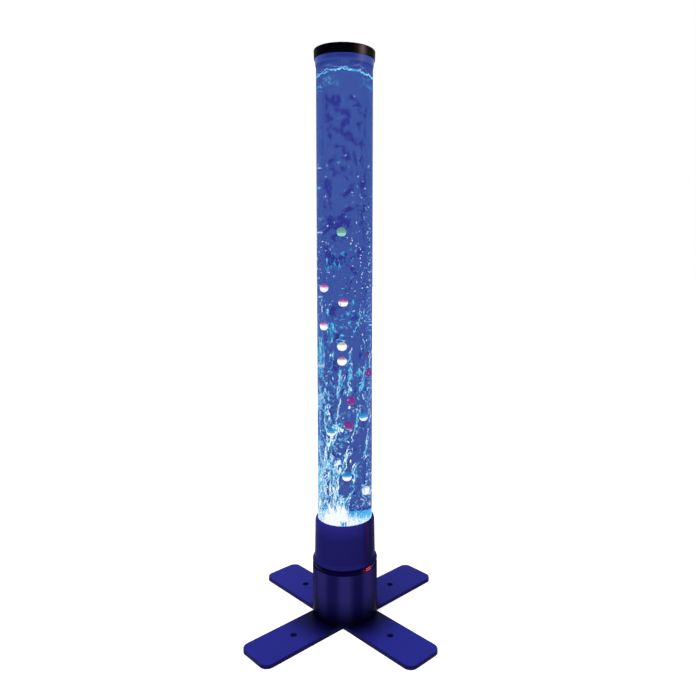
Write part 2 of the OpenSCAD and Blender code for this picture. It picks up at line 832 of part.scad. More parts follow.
module pump_leads() {
    coil_y = pump_y + core_w / 2 + coil_t;
    color("firebrick") translate([pump_lead_x, 0, 0]) along_y(coil_y, pump_lead_z)
        cylinder(d = lead_d, h = board_y - plug_size - coil_y);
}

// The indicator's two legs run inwards into a sleeved lead, which goes down and across to its plug
module indicator_leads() {
    turn_r = signal_x / cos(lens_angle);
    turn_y = turn_r * sin(lens_angle);
    flange_r = ring_in_r - pocket_depth - led_flange_t;
    low_z = plug_z + plug_h / 2;
    bend_z = low_z + signal_bend;
    color("firebrick") {
        at_angle(lens_angle, turn_r) translate([0, 0, lens_z]) rotate([0, 90, 0])
            cylinder(d = leg_d, h = flange_r - turn_r);
        translate([signal_x, turn_y, bend_z]) {
            cylinder(d = lead_d, h = lens_z + lead_d - bend_z);
            rotate([180, 0, 0]) bend_round(signal_bend, 90) circle(d = lead_d);
        }
        translate([signal_x, 0, 0]) along_y(turn_y + signal_bend, low_z)
            cylinder(d = lead_d, h = board_y - plug_size - turn_y - signal_bend);
    }
}

// ---------- floats ----------

module float_ball(i) {
    color(FLOATS[i][3]) at_angle(FLOATS[i][1], column_r)
        translate([0, 0, z_floor + FLOATS[i][2]]) sphere(d = float_d, $fn = 48);
}

foot_bar_lower();
foot_bar_upper();
bar_screws();
base_plate();
lower_housing();
tie_screws();
window_ring();
indicator_lens();
indicator_led();
tube_collar();
tube_seal();
acrylic_tube();
rim_ring();
top_cap();
floor_disc();
air_outlet_block();
air_stone();
water_column();
led_carrier();
led_board();
leds();
control_board();
board_parts();
dc_inlet();
dc_inlet_nut();
mode_button();
button_switch();
pump_feet();
pump_frame();
pump_core();
pump_coil();
pump_arm();
pump_magnet();
pump_pivot_pin();
pump_diaphragm();
pump_head();
check_valve();
valve_disc();
lower_hose();
upper_hose();
led_leads();
pump_leads();
indicator_leads();
float_ball(0);  // float_green_top
float_ball(1);  // float_red_high
float_ball(2);  // float_lime
float_ball(3);  // float_red_mid
float_ball(4);  // float_magenta_high
float_ball(5);  // float_magenta_low
float_ball(6);  // float_cyan_low
float_ball(7);  // float_cyan_left
float_ball(8);  // float_red_left
float_ball(9);  // float_red_edge
float_ball(10);  // float_cyan_right
float_ball(11);  // float_magenta_edge
float_ball(12);  // float_white
float_ball(13);  // float_red_back
float_ball(14);  // float_cyan_back
float_ball(15);  // float_green_back
float_ball(16);  // float_cyan_bottom
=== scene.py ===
"""Bubble tube floor lamp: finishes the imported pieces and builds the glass, water, bubbles and stage."""

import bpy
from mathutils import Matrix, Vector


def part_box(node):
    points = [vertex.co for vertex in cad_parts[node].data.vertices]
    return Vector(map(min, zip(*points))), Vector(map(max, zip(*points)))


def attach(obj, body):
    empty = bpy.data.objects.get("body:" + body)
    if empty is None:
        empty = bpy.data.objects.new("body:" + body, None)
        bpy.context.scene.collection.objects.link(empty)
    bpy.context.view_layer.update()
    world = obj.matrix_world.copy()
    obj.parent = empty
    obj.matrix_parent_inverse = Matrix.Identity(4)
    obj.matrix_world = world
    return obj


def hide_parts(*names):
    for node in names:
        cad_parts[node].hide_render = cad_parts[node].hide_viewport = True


bl_info = {
    "name": "Bubble Tube Floor Lamp",
    "version": (1, 0, 0),
    "blender": (4, 5, 0),
    "location": "View3D > Sidebar > Bubble Tube",
    "description": "Clear tube of lit water with floats and bubbles on a two-step base with four feet",
    "category": "Add Mesh",
}

import bpy
import numpy as np
from bpy.props import FloatProperty, FloatVectorProperty, IntProperty, PointerProperty
from mathutils import Matrix, Vector

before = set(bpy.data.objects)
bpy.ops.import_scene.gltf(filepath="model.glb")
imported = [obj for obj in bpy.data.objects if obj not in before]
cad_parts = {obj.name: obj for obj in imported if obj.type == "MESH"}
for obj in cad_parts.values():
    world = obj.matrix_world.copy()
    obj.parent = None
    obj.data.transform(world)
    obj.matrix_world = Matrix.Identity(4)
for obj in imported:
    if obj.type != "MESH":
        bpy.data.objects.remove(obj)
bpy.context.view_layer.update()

# Places that the frame gives, in metres
DISC_SLIP = 0.0001    # the floor disc's clearance in the bore
TUBE_LOW, TUBE_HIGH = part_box("acrylic_tube")
TUBE_R = TUBE_HIGH.x
BORE_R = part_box("floor_disc")[1].x + DISC_SLIP
FLOOR_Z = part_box("floor_disc")[1].z
WATER_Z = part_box("water_column")[1].z
RIM_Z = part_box("rim_ring")[0].z
COLLAR_LOW, COLLAR_HIGH = (corner.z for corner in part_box("tube_collar"))
HOUSING_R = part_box("lower_housing")[1].x
FOOT_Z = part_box("foot_bar_lower")[1].z
LENS_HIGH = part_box("indicator_lens")[1].z
WATER_H = WATER_Z - FLOOR_Z
SURFACE_Z = WATER_Z - 0.0012    # the still level between the waves, whose crests reach WATER_Z

ROUND = 256          # steps round a turned piece
OVERLAP = 0.00005    # how far the water reaches into the tube's wall, so that no air shows between them
AIR_R = 0.040        # how far most of the air is from the axis
FLOAT_ROOM = 0.0095  # how far bubbles stay from a float's middle
LIGHT = 8.0          # strength of all light given off in the water; the colours hold the rest
ACRYLIC_IOR = 1.49
WATER_IOR = 1.33
BLACK = (0, 0, 0)
WHITE = (1, 1, 1)


def middle_of(name):
    """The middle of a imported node's box."""
    low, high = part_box(name)
    return (low + high) / 2


# ---------- settings ----------


def colour(name, description, default):
    """A colour setting, in linear values."""
    return FloatVectorProperty(
        name=name, description=description, default=default, subtype="COLOR", size=3, min=0, max=1
    )


def number(name, description, default, **limits):
    """A number setting."""
    return FloatProperty(name=name, description=description, default=default, **limits)


class BodySettings(bpy.types.PropertyGroup):
    """Finish of the base, its feet and the cap."""

    plastic: colour("Plastic", "Satin plastic of the housing and collar", (0.0085, 0.0075, 0.078))
    paint: colour("Foot paint", "Paint of the four feet", (0.0190, 0.0215, 0.262))
    cap: colour("Cap", "Plastic of the cap", (0.0004, 0.0004, 0.0018))
    window: colour("Window ring", "Glossy plastic of the ring in the groove", (0.0008, 0.0004, 0.020))
    signal: colour("Signal", "Red light that spreads in the ring round the lens", (1.0, 0.02, 0.05))


class WaterSettings(bpy.types.PropertyGroup):
    """Look of the lit water. Colours are as they are seen from outside."""

    colour: colour("Water", "Colour of the lit water", (0.048, 0.093, 0.361))
    swirl: colour("Swirls", "Colour of the dark swirls in the water", (0.028, 0.036, 0.275))
    veil: colour("Veil", "Light that the water's outside adds", (0.018, 0.030, 0.185))
    tint: colour("Tint", "Share of each colour that the water's outside lets through", (0.249, 0.335, 0.427))
    absorption: number("Absorption", "How fast the water swallows red light, per metre", 12, min=0)
    spared: colour("Spared", "How much less of each colour the water swallows", (0.0, 0.17, 0.50))
    heart_r: number("Heart radius", "Radius of the lit heart", 0.0285, subtype="DISTANCE")
    wave: number("Waves", "Height of the waves on the water", 0.0004, subtype="DISTANCE")


class BubbleSettings(bpy.types.PropertyGroup):
    """Streaks of air in the water. Colours are as they are seen from outside."""

    cyan: colour("Lit air", "Colour of the streaks of air", (0.035, 0.410, 0.720))
    bright: colour("Bright air", "Colour of air that catches more light", (0.220, 0.680, 0.950))
    white: colour("White air", "Colour of the brightest air", (0.960, 1.0, 1.0))
    seed: IntProperty(name="Seed", description="Seed of the bubbles' places", default=7, min=0)
    flakes: IntProperty(name="Flakes", description="Number of small ragged streaks", default=640, min=1)


class StageSettings(bpy.types.PropertyGroup):
    """Floor, lamps and camera."""

    floor: colour("Floor", "Colour of the floor", (0.86, 0.86, 0.86))
    ambient: number("Ambient", "Light from all round", 0.55, min=0)
    sun: number("Overhead light", "Strength of the soft overhead light", 1.5, min=0)
    camera_place: FloatVectorProperty(
        name="Camera", description="Where the camera stands", default=(0.0770, -1.1561, 0.6934),
        subtype="TRANSLATION"
    )
    camera_heading: number("Heading", "Camera's heading from +X, in degrees", 90.20)
    camera_pitch: number("Pitch", "How far the camera looks down, in degrees", 4.99)
    camera_roll: number("Roll", "Camera's roll, in degrees", 0.26)
    lens: number("Lens", "Focal length in millimetres", 33.19)


def settings(group):
    """The scene's settings of one group: body, water, bubbles or stage."""
    return getattr(bpy.context.scene, "lamp_" + group)


# ---------- meshes ----------


def add_mesh(name, points, faces, material):
    """A mesh object of these points. faces holds arrays, each of faces with one number of corners."""
    mesh = bpy.data.meshes.new(name)
    mesh.from_pydata(points.reshape(-1, 3).tolist(), [], [face for group in faces for face in group.tolist()])
    mesh.materials.append(material)
    added = bpy.data.objects.new(name, mesh)
    bpy.context.scene.collection.objects.link(added)
    return added


def add_piece(name, points, faces, material, body="base", replaced=()):
    """A smooth mesh object, which rides on a body and takes a slot's finish."""
    piece = add_mesh(name, points, faces, material)
    piece.data.shade_smooth()
    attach(piece, body)
    if replaced:
        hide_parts(*replaced)


def add_closed(name, points, low, high, material, replaced=()):
    """A piece of this grid of points, whose ends close at the poles low and high."""
    flat = np.concatenate([points.reshape(-1, 3), [low, high]])
    add_piece(name, flat, pole_faces(*points.shape[:2]), material, replaced=replaced)


def grid_faces(rows, columns, wrap_rows=True):
    """Quads over a grid whose columns close on themselves, and whose rows do if wrap_rows."""
    row = np.arange(rows if wrap_rows else rows - 1)[:, None]
    column = np.arange(columns)[None, :]
    after_row, after_column = (row + 1) % rows, (column + 1) % columns
    corners = [
        row * columns + column, row * columns + after_column,
        after_row * columns + after_column, after_row * columns + column
    ]
    return np.stack(np.broadcast_arrays(*corners), -1).reshape(-1, 4)


def pole_faces(rows, columns):
    """Quads over an open grid, and the fans that close it at its poles, the two points after the grid's."""
    ring = np.arange(columns)
    after = (ring + 1) % columns
    last, pole = (rows - 1) * columns, rows * columns
    low = np.stack([np.full(columns, pole), after, ring], -1)
    high = np.stack([np.full(columns, pole + 1), last + ring, last + after], -1)
    return [grid_faces(rows, columns, False), low, high]


def circle(steps):
    """Angles once round, in even steps."""
    return np.linspace(0, 2 * np.pi, steps, endpoint=False)


def around(radius, angle, height):
    """Points round the Z axis: x = r cos a, y = r sin a, z = h."""
    return np.stack(np.broadcast_arrays(radius * np.cos(angle), radius * np.sin(angle), height), -1)


def turned(profile, steps=ROUND):
    """Points of a profile (radius, height) turned about Z."""
    return around(profile[:, 0, None], circle(steps), profile[:, 1, None])


def ring_wall(inner, outer, low, high, edge=0.0004):
    """Points of a turned rectangular wall whose four corners are cut off by edge."""
    return turned(np.array([
        [outer - edge, low], [outer, low + edge], [outer, low + 2 * edge], [outer, high - 2 * edge],
        [outer, high - edge], [outer - edge, high], [inner + edge, high], [inner, high - edge],
        [inner, high - 2 * edge], [inner, low + 2 * edge], [inner, low + edge], [inner + edge, low],
    ]))


def spindles(centres, across, out, radii, squash, sides):
    """Closed spindles: rings of the given radii about each centre line, with a pole at either end.

    centres is (pieces, rings, 3); across and out are the directions at each ring. A ring's point is its
    centre + radius (cos v across + squash sin v out), v going once round.
    """
    turn = circle(sides)[None, None, :, None]
    span = np.cos(turn) * across[:, :, None, :]
    span = span + squash * np.sin(turn) * out[:, :, None, :]
    body = centres[:, 1:-1, None, :] + radii[:, 1:-1, None, None] * span[:, 1:-1]
    count, rings = body.shape[:2]
    flat = body.reshape(count, rings * sides, 3)
    points = np.concatenate([flat, centres[:, :1], centres[:, -1:]], 1)
    first = (rings * sides + 2) * np.arange(count)[:, None, None]
    return points, [(first + group).reshape(-1, group.shape[-1]) for group in pole_faces(rings, sides)]


# ---------- finishes ----------


class Value:
    """A number that nodes work out at every place. Sums with it add Math nodes."""

    def __init__(self, nodes, socket):
        self.nodes = nodes
        self.socket = socket

    def __add__(self, other):
        return self.nodes.maths("ADD", self, other)

    def __sub__(self, other):
        return self.nodes.maths("SUBTRACT", self, other)

    def __mul__(self, other):
        return self.nodes.maths("MULTIPLY", self, other)

    def __truediv__(self, other):
        return self.nodes.maths("DIVIDE", self, other)

    def __abs__(self):
        return self.nodes.maths("ABSOLUTE", self)

    def larger(self, other):
        """The larger of the two at each place."""
        return self.nodes.maths("MAXIMUM", self, other)


class Nodes:
    """A node tree, with short ways to add nodes to it."""

    def __init__(self, tree):
        self.tree = tree

    def add(self, kind, inputs=None, **properties):
        """A node of this kind with these properties, and with inputs linked or set."""
        node = self.tree.nodes.new(kind)
        for name, value in properties.items():
            setattr(node, name, value)
        for name, value in (inputs or {}).items():
            self.put(node.inputs[name], value)
        return node

    def put(self, socket, value):
        """Links value to socket if it comes from a node, and otherwise sets it."""
        value = getattr(value, "socket", value)
        if isinstance(value, bpy.types.NodeSocket):
            self.tree.links.new(value, socket)
        elif socket.type == "RGBA" and len(value) == 3:
            socket.default_value = (*value, 1)
        else:
            socket.default_value = value

    def maths(self, operation, first, second=0.0):
        """One Math node's result."""
        node = self.add("ShaderNodeMath", {0: first, 1: second}, operation=operation)
        return Value(self, node.outputs[0])

    def span(self, value, low, high, start=0.0, end=1.0, smooth=True):
        """start where value is low, end where it is high, and a soft change between."""
        inputs = {"Value": value, "From Min": low, "From Max": high, "To Min": start, "To Max": end}
        kind = "SMOOTHSTEP" if smooth else "LINEAR"
        return Value(self, self.add("ShaderNodeMapRange", inputs, interpolation_type=kind).outputs[0])

    def seen(self):
        """1 for rays that show what lies behind: from the camera, a mirror or glass."""
        path = self.add("ShaderNodeLightPath")
        first = self.maths("MAXIMUM", path.outputs["Is Camera Ray"], path.outputs["Is Glossy Ray"])
        return first.larger(path.outputs["Is Transmission Ray"])


class Finish(Nodes):
    """One material, with short ways to add the nodes of its pattern."""

    def __init__(self, name, **sockets):
        """sockets holds the Principled shader's plain values, with _ for a space."""
        self.material = bpy.data.materials.new(name)
        self.material.use_nodes = True
        super().__init__(self.material.node_tree)
        self.shader = self.tree.nodes["Principled BSDF"]
        self.output = self.tree.nodes["Material Output"]
        self.place = self.add("ShaderNodeTexCoord").outputs["Object"]
        for socket, value in sockets.items():
            self.set(socket.replace("_", " "), value)

    def set(self, name, value):
        """Links or sets an input of the Principled shader."""
        self.put(self.shader.inputs[name], value)

    def surface(self, node):
        """Makes this shader node the surface, in place of the Principled shader."""
        self.put(self.output.inputs["Surface"], node.outputs[0])
        self.tree.nodes.remove(self.shader)

    def noise(
        self, scale, detail=3.0, roughness=0.5, distortion=0.0, stretch=(1, 1, 1), shift=(0, 0, 0), place=None
    ):
        """Noise with this many swells a metre, stretched along the axes and read at a place of its own."""
        mapping = self.add("ShaderNodeMapping", {
            "Vector": place or self.place, "Location": shift, "Scale": [1 / length for length in stretch]
        })
        node = self.add("ShaderNodeTexNoise", {
            "Vector": mapping.outputs[0], "Scale": scale, "Detail": detail, "Roughness": roughness,
            "Distortion": distortion
        })
        return Value(self, node.outputs[0])

    def uneven(self, low, high, *noise):
        """A value that drifts from low to high with this noise."""
        return self.span(self.noise(*noise), 0.3, 0.7, low, high)

    def axis(self, index, vector=None):
        """The part of a vector along X, Y or Z: of the place, in metres, where none is given."""
        node = self.add("ShaderNodeSeparateXYZ", {0: vector or self.place})
        return Value(self, node.outputs[index])

    def heading(self):
        """The angle round the Z axis from the front, -Y, towards +X, in radians."""
        return self.maths("ARCTAN2", self.axis(0), self.axis(1) * -1)

    def radius(self):
        """The distance from the Z axis."""
        square = self.maths("POWER", self.axis(0), 2) + self.maths("POWER", self.axis(1), 2)
        return self.maths("SQRT", square)

    def distance(self, point):
        """How far a place is from a point."""
        node = self.add("ShaderNodeVectorMath", {0: self.place, 1: point}, operation="DISTANCE")
        return Value(self, node.outputs["Value"])

    def up_water(self, low, high, start, end, smooth=True):
        """start at one share of the water's height, end at another, and a change between."""
        return self.span(self.axis(2), FLOOR_Z + low * WATER_H, FLOOR_Z + high * WATER_H, start, end, smooth)

    def mix(self, factor, first, second):
        """first where factor is 0 and second where it is 1."""
        return self.add("ShaderNodeMix", {0: factor, 6: first, 7: second}, data_type="RGBA").outputs[2]

    def clouded(self, tone, low, high, *noise):
        """A colour times low to high, in clouds of this noise."""
        return self.mix(self.noise(*noise), darker(tone, low), darker(tone, high))

    def bump(self, height, depth, strength=0.3):
        """Bump of this height pattern, depth metres deep."""
        node = self.add("ShaderNodeBump", {"Strength": strength, "Distance": depth, "Height": height})
        self.set("Normal", node.outputs[0])

    def glow(self, tone, strength=1.0):
        """Light of this colour from the surface, which isn't sampled as a lamp."""
        self.set("Emission Color", tone)
        self.set("Emission Strength", strength)
        self.material.cycles.emission_sampling = "NONE"


def darker(tone, share):
    """The colour times share."""
    return tuple(share * part for part in tone)


def in_water(seen, depth=0.006):
    """The light that a thing this deep in the water gives off to be seen in this colour, over LIGHT.

    Light from it is tinted by the water's outside and swallowed on the way, and the veil is added:
    seen = veil + tint * exp(-absorption * (1 - spared) * depth) * light.
    """
    water = settings("water")
    swallowed = water.absorption * (1 - np.array(water.spared))
    passed = np.array(water.tint) * np.exp(-swallowed * depth)
    light = (np.array(seen) - np.array(water.veil)) / passed / LIGHT
    return tuple(np.clip(light, 0, 1).tolist())


def lightless(name, roughness):
    """A finish that scatters and mirrors no light, for a surface that only gives it off."""
    finish = Finish(name, Roughness=roughness, Specular_IOR_Level=0.0)
    finish.set("Base Color", BLACK)
    return finish


def grained(name, tone, roughness, grain, depth, variation=0.25, **sockets):
    """A moulded or cast finish: cloudy colour, uneven gloss and a fine grain."""
    finish = Finish(name, **sockets)
    finish.set("Base Color", finish.clouded(tone, 1 - variation, 1 + variation, 35, 4, 0.6))
    finish.set("Roughness", finish.uneven(roughness * 0.85, roughness * 1.15, 260))
    finish.bump(finish.noise(grain, 2), depth)
    return finish


def foot_paint():
    """Satin paint with a fine orange peel, with painted shade on its sides and a painted shadow where the
    bars run under the housing, longer on the front arms.
    """
    paint = tuple(settings("body").paint)
    # Colours of the painted shadow by the housing and of the painted shade on the sides
    dark, shaded_side_tone = (0.0008, 0.0007, 0.014), (0.0060, 0.0050, 0.050)
    finish = Finish("foot_paint", Specular_IOR_Level=0.02)
    # A painted shadow where the bars meet the housing, reaching further on the front arms
    reach = finish.radius() + finish.noise(30) * 0.012
    painted_shadow_end = finish.span(finish.axis(1), -0.015, 0.020, HOUSING_R + 0.080, HOUSING_R + 0.018)
    under = finish.span(reach, HOUSING_R + 0.004, painted_shadow_end)
    top = finish.mix(under, dark, finish.clouded(paint, 0.88, 1.1, 18, 4))
    # The sides get painted shade, darker than the top
    is_top = finish.span(finish.axis(2), FOOT_Z - 0.0016, FOOT_Z - 0.0002)
    finish.set("Base Color", finish.mix(is_top, finish.mix(0.85, top, shaded_side_tone), top))
    finish.set("Roughness", finish.uneven(0.32, 0.46, 140))
    finish.bump(finish.noise(900, 2), 0.00005, 0.35)
    return finish


def housing_plastic():
    """Satin plastic with painted reflections in upright stripes on the drum, painted shade towards the feet
    and a painted highlight at the collar's rim.

    Over the groove runs a painted shadow on the collar's foot, and the collar has painted shade at its right
    and a faint painted red reflection.
    """
    # Count and turn of the painted reflection stripes, and the heading of the painted red reflection
    reflection_stripes, reflection_turn, red_reflection_at = 8, np.radians(32), 0.91
    # Colours of the painted reflection, the painted shadow over the groove and the painted red reflection
    reflection_tone, groove_shadow_tone, red_reflection_tone = (0.0235, 0.0215, 0.145), (0.0004, 0.0002, 0.016), (0.065, 0.008, 0.055)
    plastic = tuple(settings("body").plastic)
    finish = Finish("housing_plastic", Specular_IOR_Level=0.003)
    height, heading = finish.axis(2), finish.heading()
    wavy = height + finish.noise(24) * 0.01
    # Upright stripes of painted reflection round the drum
    band = finish.span(finish.maths("COSINE", heading * reflection_stripes - reflection_turn), -0.9, 0.9)
    drum = finish.mix(band, finish.clouded(plastic, 0.90, 1.10, 28, 4, 0.6), reflection_tone)
    # Painted shade, darker towards the feet
    body = finish.mix(finish.span(wavy, FOOT_Z + 0.004, FOOT_Z + 0.060), darker(plastic, 0.12), drum)
    collar = finish.span(height, COLLAR_LOW - 0.002, COLLAR_LOW + 0.010)
    body = finish.mix(collar, body, darker(plastic, 1.70))
    # A painted shadow on the collar's foot over the groove
    over_lens = height - LENS_HIGH
    groove_shadow = finish.span(over_lens, 0.0, 0.0006) * finish.span(over_lens, 0.0038, 0.0054, 1, 0)
    body = finish.mix(groove_shadow, body, groove_shadow_tone)
    # A painted highlight at the collar's rim
    rim = finish.span(wavy, COLLAR_HIGH - 0.026, COLLAR_HIGH + 0.002)
    body = finish.mix(rim, body, darker(plastic, 2.7))
    # Painted shade at the collar's right
    right = finish.span(heading, 0.55, 0.95) * finish.span(heading, 1.9, 2.3, 1, 0)
    body = finish.mix(right * (collar * 0.62), body, darker(plastic, 0.5))
    # A faint painted red reflection on the collar
    red_reflection = finish.span(abs(heading - red_reflection_at), 0.02, 0.10, 1, 0)
    red_reflection = red_reflection * finish.span(wavy, COLLAR_LOW + 0.018, COLLAR_HIGH - 0.012, 0, 0.6)
    finish.set("Base Color", finish.mix(red_reflection, body, red_reflection_tone))
    finish.set("Roughness", finish.uneven(0.24, 0.34, 210))
    finish.bump(finish.noise(1500, 2), 0.00002, 0.10)
    return finish


def window_plastic():
    """Near-black gloss, with the signal's red light spreading in it round the lens."""
    body = settings("body")
    finish = Finish("window_plastic", Specular_IOR_Level=0.015)
    finish.set("Base Color", finish.clouded(body.window, 0.7, 1.3, 60))
    finish.set("Roughness", finish.uneven(0.14, 0.22, 180))
    halo = finish.span(finish.distance(middle_of("indicator_lens")), 0.005, 0.020, 1, 0)
    finish.glow(finish.mix(halo, (0.0002, 0.0001, 0.008), darker(body.signal, 0.12)))
    finish.bump(finish.noise(700, 2), 0.00002, 0.2)
    return finish


def lens_red():
    """Red lens with two bright bars of light along the groove."""
    bar_off, bar_half, bar_end = 0.0020, 0.0005, 0.0010
    finish = Finish("lens_red", Specular_IOR_Level=0.02, Roughness=0.3)
    off = abs(finish.axis(2) - middle_of("indicator_lens").z)
    bar = finish.span(abs(off - bar_off), bar_half, bar_end, 1, 0)
    finish.set("Base Color", finish.mix(bar, (0.08, 0.0, 0.01), (0.4, 0.03, 0.05)))
    finish.glow(finish.mix(bar, (0.075, 0.0, 0.006), (0.72, 0.13, 0.22)))
    return finish


def cap_plastic():
    """Black moulded plastic with a satin sheen."""
    cap = tuple(settings("body").cap)
    return grained("cap_plastic", cap, 0.34, 1400, 0.00003, 0.3, Specular_IOR_Level=0.008)


def frosted_acrylic():
    """The lit floor of the tube: white light with cyan pools, mostly at the right, the back and the edge."""
    finish = Finish("frosted_acrylic", Roughness=0.5)
    drift = finish.noise(38, 4, 0.6, 1.2)
    pools = finish.span(drift + (finish.axis(0) * 6.0 + finish.axis(1) * 7.0), 0.56, 0.62)
    spots = finish.span(finish.noise(110, 3, 0.6, 0.8), 0.50, 0.56)
    cyan = pools.larger(finish.span(finish.radius(), 0.036, 0.044) * spots)
    finish.set("Base Color", (0.8, 0.9, 1.0))
    finish.glow(finish.mix(cyan, in_water(WHITE, 0.020), in_water((0.070, 0.480, 0.800), 0.034)), LIGHT)
    finish.bump(finish.noise(500, 2), 0.00005)
    return finish


def outlet_plastic():
    """Blue block that the light from below shines into."""
    finish = Finish("outlet_plastic", Roughness=0.35)
    dim, lit = in_water((0.020, 0.120, 0.400)), in_water((0.03, 0.30, 0.50))
    finish.set("Base Color", (0.02, 0.1, 0.3))
    finish.glow(finish.mix(finish.noise(240, 3, 0.5, 0.6), dim, lit), LIGHT)
    finish.bump(finish.noise(900, 2), 0.00004)
    return finish


def air_stone():
    """Porous stone lit from below."""
    finish = Finish("air_stone", Roughness=0.8)
    pores = finish.span(finish.noise(900), 0.4, 0.6)
    finish.set("Base Color", finish.mix(pores, (0.12, 0.16, 0.25), (0.45, 0.55, 0.7)))
    finish.glow(finish.mix(pores, in_water((0.1, 0.6, 0.85)), in_water((0.9, 1.0, 1.0))), LIGHT)
    finish.bump(pores, 0.0003, 0.6)
    return finish


def clear_acrylic():
    """Clear acrylic: bends light, and mirrors a little more of it towards its edges."""
    finish = Finish("clear_acrylic")
    bend = {"IOR": ACRYLIC_IOR, "Roughness": 0.0, "Color": (0.985, 0.990, 1.0)}
    bend = finish.add("ShaderNodeBsdfRefraction", bend)
    mirror = finish.add("ShaderNodeBsdfAnisotropic", {"Roughness": 0.06, "Color": (0.8, 0.85, 1.0)})
    glance = Value(finish, finish.add("ShaderNodeFresnel", {"IOR": ACRYLIC_IOR}).outputs[0])
    wiped = glance * 0.10 * finish.uneven(0.6, 1.3, 14, 3, 0.5, 0.4)
    finish.surface(finish.add("ShaderNodeMixShader", {0: wiped, 1: bend.outputs[0], 2: mirror.outputs[0]}))
    return finish


def rim_acrylic():
    """The clear ring under the cap, which the blue light fills from its edge: darker in front and behind."""
    finish = Finish("rim_acrylic", Roughness=0.25, Specular_IOR_Level=0.05)
    front = finish.span(abs(finish.axis(1)), 0.030, 0.050)
    high = finish.span(finish.axis(2), RIM_Z + 0.001, RIM_Z + 0.006)
    dark = front * high * finish.uneven(0.75, 1.0, 60, 3, 0.5, 0.5)
    finish.set("Base Color", (0.002, 0.003, 0.014))
    finish.glow(finish.mix(dark, (0.030, 0.064, 0.290), (0.017, 0.026, 0.225)))
    finish.bump(finish.noise(500, 2), 0.00003)
    return finish


def lit_water():
    """Blue water: bends and tints light, swallows a little more of it on the way, and adds a faint veil."""
    water = settings("water")
    finish = Finish("water")
    bend = finish.add("ShaderNodeBsdfRefraction", {"IOR": WATER_IOR, "Roughness": 0.0, "Color": water.tint})
    clouds = finish.clouded(water.veil, 0.92, 1.08, 22, 3, 0.5, 0.4, (1, 1, 2.5))
    veil = finish.add("ShaderNodeEmission", {"Color": clouds})
    inside = {"Color": water.spared, "Density": water.absorption}
    inside = finish.add("ShaderNodeVolumeAbsorption", inside)
    finish.put(finish.output.inputs["Volume"], inside.outputs[0])
    finish.material.cycles.emission_sampling = "NONE"
    finish.surface(finish.add("ShaderNodeAddShader", {0: bend.outputs[0], 1: veil.outputs[0]}))
    return finish


def air_share(finish, shift, less):
    """How thick the air is at each place, from 0 to 1: in patches, thinner with height and by less.

    It is noise + what the height adds - what the right side takes away in the lowest fifth.
    """
    patchy = finish.noise(34, 3.0, 0.62, 0.9, (1, 1, 1.4), shift)
    rising = finish.up_water(0, 0.66, 0.19 - less, -0.06 - less, False)
    thin = finish.up_water(0.60, 0.80, 0, -0.16)
    left = finish.span(finish.axis(0), -0.010, 0.038, -0.005, -0.20, False)
    air = patchy + rising + thin + left * finish.up_water(0.20, 0.28, 1, 0)
    return finish.span(air, 0.50, 0.62, 0, 1, False)


def fanned(finish):
    """The place, drawn in towards the axis as it rises, so that a pattern fans outwards from the floor."""
    spread = finish.up_water(0, 0.26, 1.9, 0.95)
    x, y, z = (finish.axis(index) for index in range(3))
    return finish.add("ShaderNodeCombineXYZ", {0: x * spread, 1: y * spread, 2: z}).outputs[0]


def torn(finish, share, scale, shift):
    """How deep a place is in the torn streaks of air: noise over a level that falls as the share grows."""
    rarest, densest = 0.70, 0.505
    flames = finish.noise(scale, 4.5, 0.72, 0.7, (1, 1, 2.2), shift, fanned(finish))
    return flames - finish.span(share, 0, 1, rarest, densest, False)


def threads(finish, share):
    """How deep a place is in the winding threads of air, which run where noise passes its middle value.

    They are wide where there is much air, and low down.
    """
    winding = finish.noise(46, 3.0, 0.62, 1.0, (1, 1, 1.5), (0.4, 0.1, 0.7))
    width = share * finish.up_water(0, 0.40, 0.020, 0.0112) + 0.0001
    return finish.span(abs(winding - 0.5) / width, 0.8, 1.1, 0.03, -0.01)


def foam(finish):
    """How deep a place is in the foam at the front of the floor, which leaves the outlet block in sight."""
    left, block_half, block_top = 0.010, 0.0066, 0.0110
    ragged = finish.noise(105, 5.0, 0.74, 0.8, (1, 1, 2.4), (0.6, 0.3, 0.8), fanned(finish))
    ragged = ragged + finish.span(finish.axis(2), FLOOR_Z + 0.001, FLOOR_Z + 0.060, 0.34, -0.14, False)
    ragged = ragged + finish.span(abs(finish.axis(0) + left), 0.008, 0.032, 0.06, -0.22)
    deep = (ragged - 0.58) * 1.4 * finish.span(finish.axis(1), -0.010, 0.005, 1, 0)
    across = abs(finish.axis(0) - middle_of("air_outlet_block").x) / block_half
    gap = across.larger(finish.span(finish.axis(2), FLOOR_Z, FLOOR_Z + block_top, 0, 1, False))
    return deep * finish.span(gap, 0.85, 1.0)


def torn_light(finish, inside, behind, depth):
    """Torn air over the colour behind: cyan at its edges, white in its middle, duller with height."""
    bubbles = settings("bubbles")
    inside = inside * finish.up_water(0.22, 0.52, 1.0, 0.42)
    for tone, edge in ((bubbles.cyan, 0.0), (bubbles.bright, 0.022), (bubbles.white, 0.040)):
        behind = finish.mix(finish.span(inside, edge, edge + 0.006), behind, in_water(tone, depth))
    return behind


